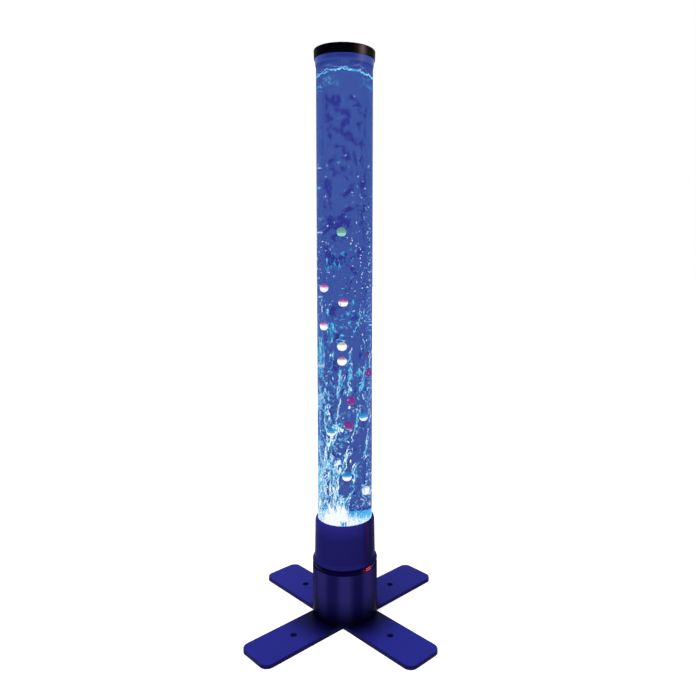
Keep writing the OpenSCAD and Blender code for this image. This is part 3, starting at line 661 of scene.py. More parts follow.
def water_heart():
    """The water's lit heart: blue, with dark swirls above and torn streaks of lit air below."""
    water = settings("water")
    depth = BORE_R - water.heart_r
    finish = lightless("water_heart", 0.9)
    height = finish.axis(2)
    near_top = finish.span(height, WATER_Z - 0.045, WATER_Z - 0.020, 0, 0.2)
    fewer = finish.up_water(0.44, 0.66, 0.045, 0.0) + near_top
    swirl = finish.noise(52, 4.0, 0.68, 0.5, (1, 1, 1), (0.013, 0.02, 0.031)) - fewer
    blue = finish.clouded(in_water(water.colour, depth), 0.96, 1.03, 30, 3, 0.5, 0.4, (1, 1, 2))
    lit = finish.mix(finish.span(swirl, 0.546, 0.550), blue, in_water(water.swirl, depth))
    share = air_share(finish, (0.3, 0.1, 0.2), 0.06)
    lit = torn_light(finish, torn(finish, share, 84, (0.5, 0.2, 0.9)), lit, depth)
    near_floor = finish.span(height, FLOOR_Z + 0.014, FLOOR_Z + 0.050, 0.42, 0.0)
    near_floor = near_floor * finish.span(finish.axis(0), -0.006, 0.006, 1, 0)
    glow = finish.span(near_floor + finish.noise(80, 4, 0.6), 0.70, 0.80)
    finish.glow(finish.mix(glow, lit, in_water((0.9, 1, 1), depth)), LIGHT)
    return finish


def air_veil():
    """Torn streaks, threads and foam of lit air near the bore, clear between them and round the floats."""
    clear_within, thick_from = 0.0122, 0.0132
    finish = lightless("air_veil", 0.9)
    share = air_share(finish, (0.9, 0.4, 0.6), 0.07)
    for name in FLOAT_LOOKS:
        share = share * finish.span(finish.distance(middle_of(name)), clear_within, thick_from)
    inside = torn(finish, share, 125, (0.2, 0.7, 0.4)).larger(threads(finish, share)).larger(foam(finish))
    finish.glow(torn_light(finish, inside, in_water(settings("bubbles").cyan, 0), 0), LIGHT)
    finish.set("Alpha", finish.span(inside, 0.0, 0.006))
    return finish


def damp_film():
    """The damp inside of the tube above the water: blue light, darker in patches under the cap."""
    finish = Finish("damp_film", Roughness=0.5, Specular_IOR_Level=0.05)
    finish.set("Base Color", (0.002, 0.003, 0.014))
    up = finish.span(finish.axis(2), WATER_Z + 0.005, WATER_Z + 0.018)
    drift = finish.span(finish.noise(22, 3, 0.5, 0.6, (1, 1, 0.6)), 0.36, 0.54)
    finish.glow(finish.mix(up * drift, (0.034, 0.066, 0.300), (0.018, 0.031, 0.235)))
    finish.bump(finish.noise(400), 0.0002, 0.2)
    return finish


def lit_air(name, low, high, strength=LIGHT, grain=330):
    """Lit air that shades from one colour to the other in small sharp patches."""
    finish = lightless(name, 0.5)
    patches = finish.span(finish.noise(grain, 3, 0.55, 0.9, (1, 1, 1.8)), 0.44, 0.56)
    finish.glow(finish.mix(patches, low, high), strength)
    return finish


def float_plastic(name, top, middle, split, soft, below=(0.95, 0.97, 1.0)):
    """A float that glows with painted light: its own colour above the split, and below it white, where the
    painted light from below meets it.

    top and middle are its colours at its crown and at the split, split is the height of the change, from
    -1 at the float's bottom to 1 at its top, and soft is how far the change spreads.
    """
    finish = Finish(name, Roughness=0.32, Specular_IOR_Level=0.1)
    up = finish.axis(2, finish.add("ShaderNodeTexCoord").outputs["Normal"])
    level = up + (finish.noise(240, 3, 0.5, 0.5) - 0.5) * 0.22
    # Above the split: painted light that shades from the split's colour to the crown's
    own = finish.mix(finish.span(level, split, 0.85), in_water(middle), in_water(top))
    # Below the split: white painted light from below, darker at the very bottom
    lit_underside = finish.mix(finish.span(up, -0.95, -0.75), in_water(darker(below, 0.35)), in_water(below))
    paint = finish.mix(finish.span(level, split - soft, split + soft), lit_underside, own)
    finish.set("Base Color", finish.mix(0.8, paint, BLACK))
    finish.glow(paint, LIGHT)
    finish.bump(finish.noise(1500, 2), 0.00004, 0.2)
    return finish


def worn_metal(name, tone, roughness):
    """Bare metal with fine drawn lines and a few dull spots."""
    finish = Finish(name, Metallic=1.0)
    finish.set("Base Color", finish.clouded(tone, 0.75, 1.0, 120, 4, 0.6))
    finish.set("Roughness", finish.uneven(roughness, roughness + 0.2, 900, 3, 0.5, 0, (1, 1, 6)))
    finish.bump(finish.noise(2600, 2, 0.5, 0, (1, 1, 8)), 0.00002)
    return finish


def clear_hose():
    """Clear soft hose, a little cloudy."""
    return grained("clear_hose", (0.62, 0.70, 0.78), 0.25, 400, 0.00003, 0.1, Transmission_Weight=0.6)


# Slots with a plain moulded or metal finish: colour, roughness, and for moulded ones the grain and its depth
MOULDED = {
    "base_plastic": ((0.012, 0.012, 0.045), 0.50, 900, 0.00008),
    "seal_rubber": ((0.020, 0.020, 0.022), 0.75, 1300, 0.00010),
    "white_plastic": ((0.80, 0.82, 0.85), 0.45, 1200, 0.00004),
    "white_board": ((0.78, 0.80, 0.80), 0.40, 2000, 0.00002),
    "green_board": ((0.010, 0.130, 0.055), 0.35, 2400, 0.00003),
    "black_component": ((0.012, 0.012, 0.014), 0.42, 1600, 0.00004),
    "button_plastic": ((0.006, 0.006, 0.022), 0.38, 1500, 0.00004),
    "pump_plastic": ((0.080, 0.105, 0.130), 0.50, 1100, 0.00006),
    "diaphragm_rubber": ((0.025, 0.025, 0.028), 0.70, 1500, 0.00008),
    "valve_plastic": ((0.72, 0.74, 0.78), 0.35, 1000, 0.00003),
    "lead_insulation": ((0.300, 0.015, 0.015), 0.45, 900, 0.00003),
}
METALS = {
    "screw_steel": ((0.62, 0.62, 0.60), 0.28),
    "core_steel": ((0.42, 0.42, 0.43), 0.45),
    "coil_copper": ((0.80, 0.36, 0.16), 0.30),
    "arm_aluminium": ((0.76, 0.77, 0.78), 0.32),
}
RED = ((0.210, 0.050, 0.280), (0.460, 0.110, 0.330), 0.08, 0.26)
DEEP_MAGENTA = ((0.150, 0.038, 0.262), (0.240, 0.036, 0.262))
LIT_CYAN = ((0.018, 0.190, 0.470), (0.060, 0.420, 0.760))
GREEN = ((0.125, 0.270, 0.300), (0.180, 0.410, 0.190), -0.25, 0.16, (0.300, 0.680, 0.760))
# Of each float: its colours at the crown and the split, the split's height and softness, the colour below
FLOAT_LOOKS = {
    "float_green_top": GREEN,
    "float_green_back": GREEN,
    "float_lime": ((0.440, 0.470, 0.400), (0.480, 0.560, 0.300), 0.42, 0.12),
    "float_red_high": RED,
    "float_red_back": ((0.200, 0.035, 0.210), (0.320, 0.055, 0.230), 0.0, 0.30, (0.100, 0.100, 0.360)),
    "float_red_mid": ((0.300, 0.150, 0.310), (0.560, 0.300, 0.420), 0.38, 0.22),
    "float_red_left": ((0.290, 0.062, 0.300), (0.600, 0.190, 0.440), 0.10, 0.34),
    "float_red_edge": ((0.320, 0.070, 0.300), (0.640, 0.250, 0.480), 0.25, 0.34),
    "float_magenta_high": (*DEEP_MAGENTA, -0.72, 0.20, (0.320, 0.200, 0.470)),
    "float_magenta_low": (*DEEP_MAGENTA, -0.62, 0.20, (0.550, 0.380, 0.660)),
    "float_magenta_edge": (*DEEP_MAGENTA, -0.85, 0.20, (0.320, 0.200, 0.470)),
    "float_cyan_low": (*LIT_CYAN, 0.10, 0.16),
    "float_cyan_left": (*LIT_CYAN, -0.12, 0.16),
    "float_cyan_right": (*LIT_CYAN, -0.12, 0.16),
    "float_cyan_back": (*LIT_CYAN, 0.02, 0.16),
    "float_cyan_bottom": (*LIT_CYAN, -0.20, 0.16),
    "float_white": ((0.500, 0.700, 0.820), (0.900, 0.980, 1.0), 0.55, 0.12),
}


def dress(node, finish):
    """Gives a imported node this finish."""
    node.data.materials.clear()
    node.data.materials.append(finish.material)


def dress_slot(slot, finish):
    """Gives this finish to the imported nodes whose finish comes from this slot."""
    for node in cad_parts.values():
        if node.data.materials[0].name.split(".")[0] == slot:
            dress(node, finish)


# ---------- operators ----------


class LAMP_OT_base(bpy.types.Operator):
    """Finish the feet, housing, collar, groove ring and cap"""

    bl_idname = "lamp.finish_base"
    bl_label = "Finish the Base and Cap"

    def execute(self, context):
        finishes = {
            "foot_paint": foot_paint, "housing_plastic": housing_plastic, "window_plastic": window_plastic,
            "lens_red": lens_red, "cap_plastic": cap_plastic, "frosted_acrylic": frosted_acrylic,
            "outlet_plastic": outlet_plastic, "air_stone": air_stone, "clear_hose": clear_hose
        }
        for slot, make in finishes.items():
            dress_slot(slot, make())
        return {"FINISHED"}


class LAMP_OT_inside(bpy.types.Operator):
    """Finish the parts inside the base"""

    bl_idname = "lamp.finish_inside"
    bl_label = "Finish the Inner Parts"

    def execute(self, context):
        for slot, look in MOULDED.items():
            dress_slot(slot, grained(slot, *look))
        for slot, look in METALS.items():
            dress_slot(slot, worn_metal(slot, *look))
        led = grained("led_lens", (0.7, 0.8, 0.85), 0.2, 800, 0.00002)
        led.glow((0.6, 0.9, 1.0))
        dress_slot("led_lens", led)
        return {"FINISHED"}


class LAMP_OT_tube(bpy.types.Operator):
    """Build the clear tube, the ring under the cap and the damp film above the water"""

    bl_idname = "lamp.build_tube"
    bl_label = "Build the Clear Tube"

    def execute(self, context):
        wall = ring_wall(BORE_R, TUBE_R, TUBE_LOW.z, TUBE_HIGH.z)
        acrylic = clear_acrylic().material
        faces = [grid_faces(*wall.shape[:2])]
        add_piece("clear_tube", wall, faces, acrylic, "base", ["acrylic_tube"])
        dress(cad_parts["rim_ring"], rim_acrylic())
        self.film()
        return {"FINISHED"}

    def film(self):
        """A thin turned wall at the tube's bore, whose lower edge follows the waves."""
        thick, edge, under_top = 0.0002, 0.00005, 0.001
        angle = circle(ROUND)
        wall = ring_wall(BORE_R - thick, BORE_R + OVERLAP, SURFACE_Z, TUBE_HIGH.z - under_top, edge)
        lowest = wall[..., 2] < SURFACE_Z + 0.001
        wall[..., 2] += lowest * (0.0003 + shore_height(angle) - shore_drop(angle))
        look = damp_film().material
        add_piece("damp_film", wall, [grid_faces(*wall.shape[:2])], look, "base")


def shore_height(angle):
    """Height of the water against the wall at each angle: three waves round the bore."""
    waves = 0.9 * np.sin(3 * angle + 0.6) + 0.6 * np.sin(7 * angle + 2.1) + 0.35 * np.sin(17 * angle + 1.0)
    return settings("water").wave * waves


def shore_drop(angle):
    """How much lower the bright line hangs at the sides than at the front and back: D cos^2 a, a from +X."""
    return 0.0062 * np.cos(angle) ** 2


def jagged(angle, crests, phase):
    """Sharp-crested waves from -1 to 1, this many round the bore: 1 - 2 |sin|, bent by a slow wave."""
    return 1 - 2 * np.abs(np.sin(crests / 2 * angle + phase + 0.5 * np.sin(3 * angle + phase)))


class LAMP_OT_water(bpy.types.Operator):
    """Build the water, its lit heart and the bright lines where it meets the tube"""

    bl_idname = "lamp.build_water"
    bl_label = "Build the Water"

    def execute(self, context):
        self.water()
        self.heart()
        self.veil()
        self.shore_lines()
        return {"FINISHED"}

    def water(self):
        """A turned column with a wavy top: z = water level + shore height at the wall, dying away inwards."""
        radius, low, edge = BORE_R + OVERLAP, FLOOR_Z - OVERLAP, 0.0003
        side = [[0.4 * radius, low], [radius - edge, low], [radius, low + edge], [radius, low + 3 * edge]]
        side += [[radius, SURFACE_Z - 3 * edge], [radius, SURFACE_Z - edge], [radius - edge, SURFACE_Z]]
        inwards = np.linspace(0.97, 0.03, 22) * radius
        profile = np.array(side + [[r, SURFACE_Z] for r in inwards])
        points = turned(profile)
        angle = circle(ROUND)
        r = profile[:, 0, None] / radius
        wave = settings("water").wave
        chop = wave * (np.sin(5 * angle + 9 * r) * r + np.sin(2 * angle - 14 * r) * r) * 0.8
        top = (profile[:, 1, None] > SURFACE_Z - 0.002) * 1.0
        points[..., 2] += top * (r ** 6 * shore_height(angle) + (1 - r ** 6) * chop)
        look = lit_water().material
        add_closed("lit_water", points, [0, 0, low], [0, 0, SURFACE_Z], look, ["water_column"])

    def heart(self):
        """A turned heart that starts as a point over the floor and swells, r = R sin(pi/2 t), with waves.

        At the water's top it spreads into a thin lid, which gives the surface's underside the water's colour.
        """
        low, swell, high, lid_thick, steps = FLOOR_Z + 0.014, 0.060, SURFACE_Z - 0.0016, 0.0006, 128
        t = np.concatenate([np.linspace(0.10, 1, 16), np.full(150, 1.0)])
        swelling = low + swell * np.linspace(0.01, 1, 16) ** 1.2
        z = np.concatenate([swelling, np.linspace(low + swell, high, 151)[1:]])[:, None]
        radius = settings("water").heart_r * np.sin(np.pi / 2 * t)[:, None]
        angle = circle(steps)
        waves = 0.0011 * np.sin(3 * angle + 41 * z) + 0.0008 * np.sin(5 * angle - 73 * z)
        fade = np.clip((high - z) / 0.02, 0, 1)
        r = radius + t[:, None] ** 3 * fade * (waves - 0.0006)
        lid = np.array([
            [0.042, high], [0.0459, high + 0.0001], [0.0461, high + 0.0003], [0.0459, high + 0.0005],
            [0.040, high + lid_thick], [0.010, high + lid_thick]
        ])
        points = np.concatenate([around(r, angle, z), turned(lid, steps)])
        add_closed("water_heart", points, [0, 0, low], [0, 0, high + lid_thick], water_heart().material)

    def veil(self):
        """A thin turned wall just inside the bore, which carries torn air and is clear between it."""
        outer, thick, edge = BORE_R - 0.00030, 0.00015, 0.00002
        wall = ring_wall(outer - thick, outer, FLOOR_Z + 0.0004, SURFACE_Z - 0.003, edge)
        add_piece("air_veil", wall, [grid_faces(*wall.shape[:2])], air_veil().material)

    def shore_lines(self):
        """Thin jagged rings: two bright strands at the water's edge and two fainter ones of film above."""
        cyan = lit_air("shore_light", (0.030, 0.400, 0.850), (0.300, 0.880, 1.0), 1.0, 260)
        lilac = lit_air("film_light", (0.060, 0.095, 0.420), (0.230, 0.280, 0.720), 1.0, 160)
        angle = circle(720)
        right = 0.5 + 0.5 * np.sin(angle + 1.2)
        gusts = right + 0.5 * np.sin(9 * angle + 1) * np.sin(4 * angle) + 0.3 * np.sin(31 * angle)
        gusts = np.clip(gusts, 0, 1.3)
        drop = shore_drop(angle)
        zigzag = 0.0012 * jagged(angle, 13, 0.4) + 0.0008 * jagged(angle, 41, 1.1)
        self.ring("shore_line", 0.0002 + zigzag - drop, 0.00070 + 0.00120 * gusts, cyan)
        zigzag = 0.0026 + 0.0020 * jagged(angle, 11, 2.2) + 0.0007 * jagged(angle, 61, 0.3)
        self.ring("shore_strand", zigzag - drop, 0.00035 + 0.00055 * (1 - right), cyan)
        rise = 0.0082 + 0.0042 * jagged(angle, 7, 0.6) + 0.0007 * jagged(angle, 40, 1.0)
        self.ring("film_line_low", rise - drop, 0.00042 + 0 * angle, lilac)
        rise = 0.0070 + 0.0048 * jagged(angle, 5, 1.9) + 0.0006 * jagged(angle, 33, 0.2)
        self.ring("film_line_high", rise - drop, 0.00036 + 0 * angle, lilac)

    def ring(self, name, rise, thickness, finish):
        """A closed ring at the bore, this far above the water and this thick at each angle."""
        into_wall, half_width = 0.00006, 0.00008
        turn = circle(6)
        r = BORE_R + into_wall + half_width * np.cos(turn)
        z = SURFACE_Z + rise[:, None] + thickness[:, None] * (1 + np.sin(turn))
        points = around(r, circle(len(rise))[:, None], z)
        add_piece(name, points, [grid_faces(*points.shape[:2])], finish.material)


# Jets of air, listed: angle from the front towards +X in degrees and height above the floor in
# millimetres, at the jet's foot and head, and its number of strands
JETS = [
    (-38, 14, -60, 104, 16), (-50, 62, -80, 152, 14), (-19, 30, -20, 112, 14), (-75, 114, -12, 98, 9),
    (-2, 96, 14, 148, 10), (14, 88, 38, 122, 8), (4, 52, 40, 74, 3), (-60, 6, -86, 120, 14),
    (-80, 100, -70, 262, 6), (-45, 140, -52, 250, 12), (-28, 60, -36, 190, 10), (-62, 255, -74, 345, 14),
    (-20, 150, -8, 240, 11), (20, 150, 46, 236, 10), (52, 112, 82, 172, 9), (-10, 245, 18, 325, 12),
    (42, 240, 72, 318, 9), (26, 330, 46, 400, 6), (-52, 335, -66, 420, 8), (-70, 30, -60, 70, 8),
    (-10, 8, -26, 60, 8), (150, 4, 168, 150, 14), (-150, 4, -128, 180, 14), (-95, 6, -100, 210, 5),
    (-140, 180, -160, 360, 12), (175, 160, 190, 330, 11), (-14, 226, -4, 300, 10), (10, 232, 20, 306, 9),
    (-64, 300, -58, 350, 8),
]


def wrap(angle, depth, height):
    """Points at an angle from the front, a depth inside the bore and a height above the floor."""
    radius = BORE_R - depth
    return np.stack([radius * np.sin(angle), -radius * np.cos(angle), FLOOR_Z + height], -1)


def clear_of_floats(angle, height):
    """Which paths, of angles and heights at each ring, keep FLOAT_ROOM from every float at rest."""
    clear = np.full(len(angle), True)
    for name in FLOAT_LOOKS:
        middle = middle_of(name)
        sideways = (angle - np.arctan2(middle.x, -middle.y) + np.pi) % (2 * np.pi) - np.pi
        away = np.hypot(AIR_R * sideways, height - (middle.z - FLOOR_Z))
        clear &= away.min(axis=1) > FLOAT_ROOM
    return clear


def wrapped_spindles(angle, depth, height, radii, squash, sides):
    """Spindles whose centre lines are given as angle, depth and height at each ring."""
    tiny = 1e-9    # keeps a zero length from being divided by
    centres = wrap(angle, depth, height)
    along = np.gradient(centres, axis=1)
    along /= np.linalg.norm(along, axis=-1, keepdims=True) + tiny
    out = np.stack([np.sin(angle), -np.cos(angle), 0 * angle], -1)
    across = np.cross(along, out)
    across /= np.linalg.norm(across, axis=-1, keepdims=True) + tiny
    out = np.cross(across, along)
    return spindles(centres, across, out, radii, squash, sides)


class LAMP_OT_bubbles(bpy.types.Operator):
    """Build the jets, flakes and strings of air in the water"""

    bl_idname = "lamp.build_bubbles"
    bl_label = "Build the Bubbles"

    def execute(self, context):
        self.setup = settings("bubbles")
        rng = np.random.default_rng(self.setup.seed)
        cyan, bright, white = self.tones()
        self.cyan = lit_air("lit_air", cyan, bright)
        self.white = lit_air("bright_air", bright, white, grain=420)
        self.jets(rng)
        self.flakes(rng)
        self.strings(rng)
        self.mound()
        return {"FINISHED"}

    def tones(self, *depth):
        """The air's three tones as they show through the water, this deep where it isn't the usual depth."""
        return [in_water(tone, *depth) for tone in (self.setup.cyan, self.setup.bright, self.setup.white)]

    def add(self, name, chosen, finish, path, radii, squash, sides):
        """One piece of the chosen spindles. path is the angle, depth and height at each ring of them all."""
        chosen_path = [part[chosen] for part in path]
        points, faces = wrapped_spindles(*chosen_path, radii[chosen], squash, sides)
        add_piece(name, points, faces, finish.material)

    def mound(self):
        """A ragged mound of lit air on the floor: z = H (1 - s^1.5) to a frayed edge, s from top to rim."""
        reach, tall, x, y, low = 0.0210, 0.015, -0.008, -0.018, FLOOR_Z + 0.0002
        angle = circle(120)
        s = np.concatenate([[0.6], np.linspace(1, 0.04, 22)])[:, None]
        fray = 1 + 0.13 * np.sin(5 * angle + 1) + 0.09 * np.sin(11 * angle + 2) + 0.06 * np.sin(23 * angle)
        peaks = 1 + 0.30 * np.sin(7 * angle + 9 * s) * s + 0.22 * np.sin(17 * angle - 5 * s) * s
        z = tall * (1 - s ** 1.5) * peaks * (np.arange(len(s)) > 0)[:, None]
        points = around(reach * s * (1 + (fray - 1) * s), angle, z) + [x, y, low]
        glow = lit_air("mound_light", in_water((0.30, 0.80, 1.0), 0.02), in_water(WHITE, 0.03), grain=150)
        add_closed("floor_mound", points, [x, y, low], [x, y, FLOOR_Z + tall], glow.material)

    def jets(self, rng):
        """Each jet is a bundle of short crinkled strands along the line from its foot to its head.

        Angles are in degrees and lengths in millimetres until the path is made. s is the share of the jet's
        line, and run the length along it.
        """
        table = np.array(JETS, float)
        foot_angle, foot, head_angle, head = np.repeat(table, table[:, 4].astype(int), axis=0).T[:4, :, None]
        count, rings = len(foot), 12
        aside, lift, deeper, fatter = rng.normal(0, 1, (count, 4)).T[..., None]
        phase = rng.uniform(0, 2 * np.pi, (count, 5)).T[..., None]
        length = np.hypot(head - foot, 0.8 * (head_angle - foot_angle))
        share = np.clip(rng.uniform(9, 32, (count, 1)) / length, 0.08, 0.9)
        start = rng.uniform(0, 1, (count, 1)) * (1 - share)
        along = np.linspace(0, 1, rings)
        s = start + share * along
        run = s * length
        angle = foot_angle + (head_angle - foot_angle) * s + 3.0 * aside
        angle += 1.9 * np.sin(0.21 * run + phase[0]) + 1.3 * np.sin(0.55 * run + phase[1])
        height = foot + (head - foot) * s + 2.4 * lift
        height = np.maximum(height + 1.0 * np.sin(0.4 * run + phase[2]), 1.5)
        depth = np.clip(5.5 + 2.0 * deeper + 1.0 * np.sin(0.3 * run + phase[3]), 2.6, 13)
        ragged = 0.55 + 0.30 * np.sin(0.9 * run + phase[4]) + 0.15 * np.sin(1.9 * run + phase[0])
        radii = (0.85 + 0.60 * np.abs(fatter)) * np.sin(np.pi * along) ** 0.6 * ragged
        white = rng.uniform(0, 1, count) < np.clip(0.80 - foot[:, 0] / 260, 0.22, 0.75)
        path = np.radians(angle), depth / 1000, height / 1000
        clear = clear_of_floats(path[0], path[2])
        self.add("air_jets", ~white & clear, self.cyan, path, radii / 1000, 0.5, 6)
        self.add("bright_jets", white & clear, self.white, path, radii / 1000, 0.5, 6)

    def flakes(self, rng):
        """Small ragged streaks in clusters, rarer towards the top: height = -H ln(1 - share)."""
        count, rings, clusters = self.setup.flakes, 6, 90
        column = (count, 1)
        height = np.minimum(-0.185 * np.log(1 - 0.985 * rng.uniform(0, 1, column)), 0.64) + 0.004
        cluster = rng.uniform(-np.pi, np.pi, clusters)
        level = rng.uniform(0, 0.62, clusters)
        near = np.argmin(np.abs(height - level) + rng.uniform(0, 0.08, (count, clusters)), axis=1)
        angle = cluster[near][:, None] + rng.normal(0, 0.15, column)
        clean = (height < 0.16) & (np.sin(angle) > 0.05) & (rng.uniform(0, 1, column) < 0.75)
        angle = np.where(clean, -angle, angle)
        depth = rng.uniform(0.0030, 0.0140, column)
        length = rng.uniform(0.0025, 0.0100, column) * (1.15 - height)
        lean = rng.normal(0, 0.8, column)
        thick = rng.uniform(0.0006, 0.0017, column) * (1.1 - 0.9 * height)
        phase = rng.uniform(0, 6, (count, 2)).T[..., None]
        u = np.linspace(-0.5, 0.5, rings)
        bend = 0.5 * np.sin(7 * u + phase[0])
        path_angle = angle + length * (u * np.sin(lean) + bend * 0.5) / AIR_R
        path_height = np.maximum(height + length * (u * np.cos(lean) + 0.3 * bend), 0.0015)
        radii = thick * (np.abs(np.cos(np.pi * u)) ** 0.5 * (0.65 + 0.35 * np.sin(11 * u + phase[1])))
        white = rng.uniform(0, 1, count) < 0.25 + 0.30 * (height[:, 0] < 0.14)
        path = path_angle, depth + 0 * u, path_height
        clear = clear_of_floats(path_angle, path_height)
        self.add("air_flakes", ~white & clear, self.cyan, path, radii, 0.6, 5)
        self.add("bright_flakes", white & clear, self.white, path, radii, 0.6, 5)

    def strings(self, rng):
        """Strings of small bubbles near the wall, dashes that hang below the surface, and specks."""
        places = np.radians([76, 68, -80, -120, 130, 178, 40])
        count, dashes, specks, wall_r = 60, 120, 420, 0.043
        string = np.repeat(places, count)
        height = 0.030 + np.tile(np.arange(count), len(places)) * 0.0085 + rng.normal(0, 0.0030, len(string))
        angle = string + rng.normal(0, 0.04, len(string)) + 0.06 * np.sin(19 * height + string)
        keep = rng.uniform(0, 1, len(string)) < 0.75
        height, angle = height[keep], angle[keep]
        tilt = rng.normal(0, 0.5, len(height))
        under = WATER_H - rng.uniform(0.010, 0.026, dashes)
        height = np.concatenate([height, under, rng.uniform(0.16, 0.66, specks)])
        near_top = rng.choice([-0.62, 0.98, 2.5, -2.4], dashes) + rng.normal(0, 0.20, dashes)
        between = rng.choice([0.75, -1.0, 2.4, -2.3], specks) + rng.normal(0, 0.45, specks)
        angle = np.concatenate([angle, near_top, between])[:, None]
        tilt = np.concatenate([tilt, rng.normal(0.9, 0.25, dashes), rng.normal(0, 1.0, specks)])[:, None]
        dash = height > WATER_H - 0.03
        size = np.where(dash, 0.6, 1.0) * rng.uniform(0.00040, 0.00085, len(height))
        stretch = (size * np.where(dash, 2.2, 1.0) * rng.uniform(1.0, 3.4, len(height)))[:, None]
        u = np.linspace(-1, 1, 5)
        path_height = height[:, None] + stretch * u * np.cos(tilt)
        path_angle = angle + stretch * u * np.sin(tilt) / wall_r
        radii = size[:, None] * np.sqrt(np.maximum(1 - u ** 2, 0))
        path = path_angle, rng.uniform(0.0012, 0.0035, len(height))[:, None] + 0 * u, path_height
        cyan, bright, white = self.tones(0.002)
        self.add("bubble_strings", ~dash, lit_air("string_air", bright, white), path, radii, 1.0, 5)
        self.add("surface_dashes", dash, lit_air("dash_air", cyan, bright), path, radii, 1.0, 5)


class LAMP_OT_floats(bpy.types.Operator):
    """Finish the floats"""

    bl_idname = "lamp.finish_floats"
    bl_label = "Finish the Floats"

    def execute(self, context):
        for name, look in FLOAT_LOOKS.items():
            dress(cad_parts[name], float_plastic(name, *look))
        return {"FINISHED"}


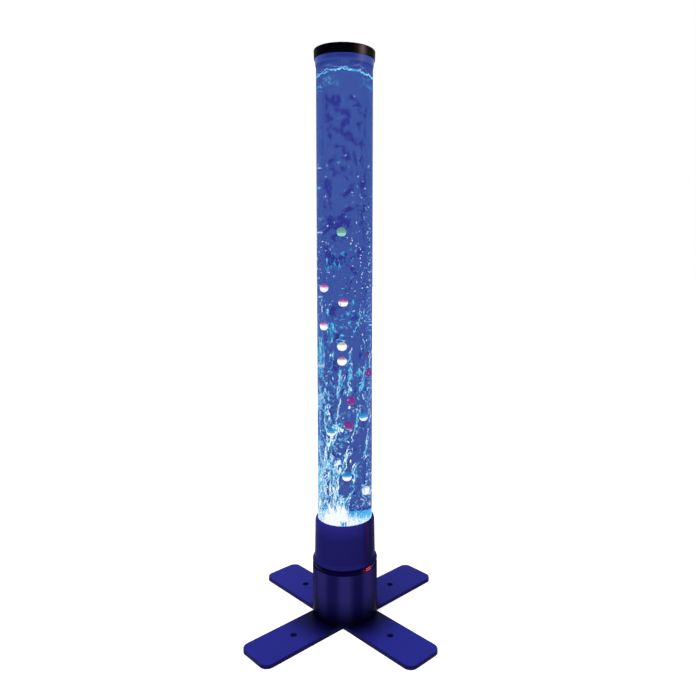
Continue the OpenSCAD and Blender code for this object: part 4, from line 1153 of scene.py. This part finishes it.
class LAMP_OT_stage(bpy.types.Operator):
    """Set up the floor, the lamps, the white background and the camera"""

    bl_idname = "lamp.set_stage"
    bl_label = "Set Up the Stage"

    def execute(self, context):
        self.scene = context.scene
        self.setup = settings("stage")
        self.scene.view_settings.view_transform = "Standard"
        self.floor()
        self.background()
        self.lamps()
        self.camera()
        return {"FINISHED"}

    def floor(self):
        """A wide round floor that a little light of its own keeps white outside the shadow."""
        own_light, below, steps = 0.50, 0.0002, 64
        finish = Finish("stage_floor", Roughness=0.9, Specular_IOR_Level=0.0)
        finish.set("Base Color", tuple(self.setup.floor))
        finish.set("Emission Color", WHITE)
        finish.set("Emission Strength", finish.seen() * own_light)
        points = turned(np.array([[radius, -below] for radius in (9.0, 3.0, 1.0, 0.05)]), steps)
        middle = np.arange(points[..., 0].size - steps, points[..., 0].size)[None, :]
        faces = [grid_faces(*points.shape[:2], False), middle]
        floor = add_mesh("stage_floor", points, faces, finish.material)

    def background(self):
        """A world that is white where it is seen and softer where it lights."""
        world = bpy.data.worlds.new("studio")
        self.scene.world = world
        world.use_nodes = True
        nodes = Nodes(world.node_tree)
        shade = world.node_tree.nodes["Background"]
        nodes.put(shade.inputs["Color"], WHITE)
        nodes.put(shade.inputs["Strength"], nodes.span(nodes.seen(), 0, 1, self.setup.ambient, 1, False))

    def lamps(self):
        """A wide overhead light, and a warm strip whose mirror image draws a soft band on the cap."""
        sun = bpy.data.lights.new("overhead", "SUN")
        sun.energy = self.setup.sun
        sun.angle = np.radians(50)
        self.aim("overhead", sun, (-0.5, -0.9, 2.2), (0, 0, 0))
        strip = bpy.data.lights.new("cap_strip", "AREA")
        strip.shape = "RECTANGLE"
        strip.size, strip.size_y = 0.16, 0.07
        strip.energy = 42.0
        strip.color = (1.0, 0.74, 0.70)
        angle, away, height = np.radians(72), 0.6, 1.21
        place = (away * np.sin(angle), -away * np.cos(angle), height)
        self.aim("cap_strip", strip, place, (0, 0, height)).visible_diffuse = False

    def aim(self, name, light, place, target):
        """A lamp at place that shines at target and isn't seen itself."""
        lamp = bpy.data.objects.new(name, light)
        lamp.location = place
        lamp.rotation_euler = (Vector(target) - Vector(place)).to_track_quat("-Z", "Y").to_euler()
        lamp.visible_camera = False
        lamp.visible_transmission = False
        self.scene.collection.objects.link(lamp)
        return lamp

    def camera(self):
        """The camera at the photograph's place, from its heading, pitch and roll."""
        shift = (-0.0533, -0.0695)    # the photograph's middle off the lens's axis
        setup = self.setup
        heading, pitch, roll = np.radians([setup.camera_heading, setup.camera_pitch, setup.camera_roll])
        forward = Vector((np.cos(heading) * np.cos(pitch), np.sin(heading) * np.cos(pitch), -np.sin(pitch)))
        level_right = forward.cross(Vector((0, 0, 1))).normalized()
        level_up = level_right.cross(forward)
        right = level_right * np.cos(roll) + level_up * np.sin(roll)
        up = level_up * np.cos(roll) - level_right * np.sin(roll)
        data = bpy.data.cameras.new("camera")
        data.lens = setup.lens
        data.sensor_width = 36
        data.shift_x, data.shift_y = shift
        camera = bpy.data.objects.new("camera", data)
        turn = Matrix((right, up, -forward)).transposed().to_4x4()
        camera.matrix_world = Matrix.Translation(Vector(setup.camera_place)) @ turn
        self.scene.collection.objects.link(camera)
        self.scene.camera = camera


class LAMP_PT_panel(bpy.types.Panel):
    """Lists the lamp's steps and settings"""

    bl_idname = "LAMP_PT_panel"
    bl_label = "Bubble Tube"
    bl_space_type = "VIEW_3D"
    bl_region_type = "UI"
    bl_category = "Bubble Tube"

    def draw(self, context):
        for group in SETTINGS:
            box = self.layout.box()
            values = getattr(context.scene, "lamp_" + group)
            for name in values.__annotations__:
                box.prop(values, name)
        for step in STEPS:
            self.layout.operator(step.bl_idname)


SETTINGS = {
    "body": BodySettings, "water": WaterSettings, "bubbles": BubbleSettings, "stage": StageSettings
}
STEPS = (
    LAMP_OT_base, LAMP_OT_inside, LAMP_OT_tube, LAMP_OT_water, LAMP_OT_bubbles, LAMP_OT_floats, LAMP_OT_stage
)


def register():
    for name, group in SETTINGS.items():
        bpy.utils.register_class(group)
        setattr(bpy.types.Scene, "lamp_" + name, PointerProperty(type=group))
    for step in STEPS:
        bpy.utils.register_class(step)
    bpy.utils.register_class(LAMP_PT_panel)


def unregister():
    bpy.utils.unregister_class(LAMP_PT_panel)
    for step in reversed(STEPS):
        bpy.utils.unregister_class(step)
    for name, group in SETTINGS.items():
        delattr(bpy.types.Scene, "lamp_" + name)
        bpy.utils.unregister_class(group)


def main():
    register()
    bpy.ops.lamp.finish_base()
    bpy.ops.lamp.finish_inside()
    bpy.ops.lamp.build_tube()
    bpy.ops.lamp.build_water()
    bpy.ops.lamp.build_bubbles()
    bpy.ops.lamp.finish_floats()
    bpy.ops.lamp.set_stage()


if __name__ == "__main__":
    main()
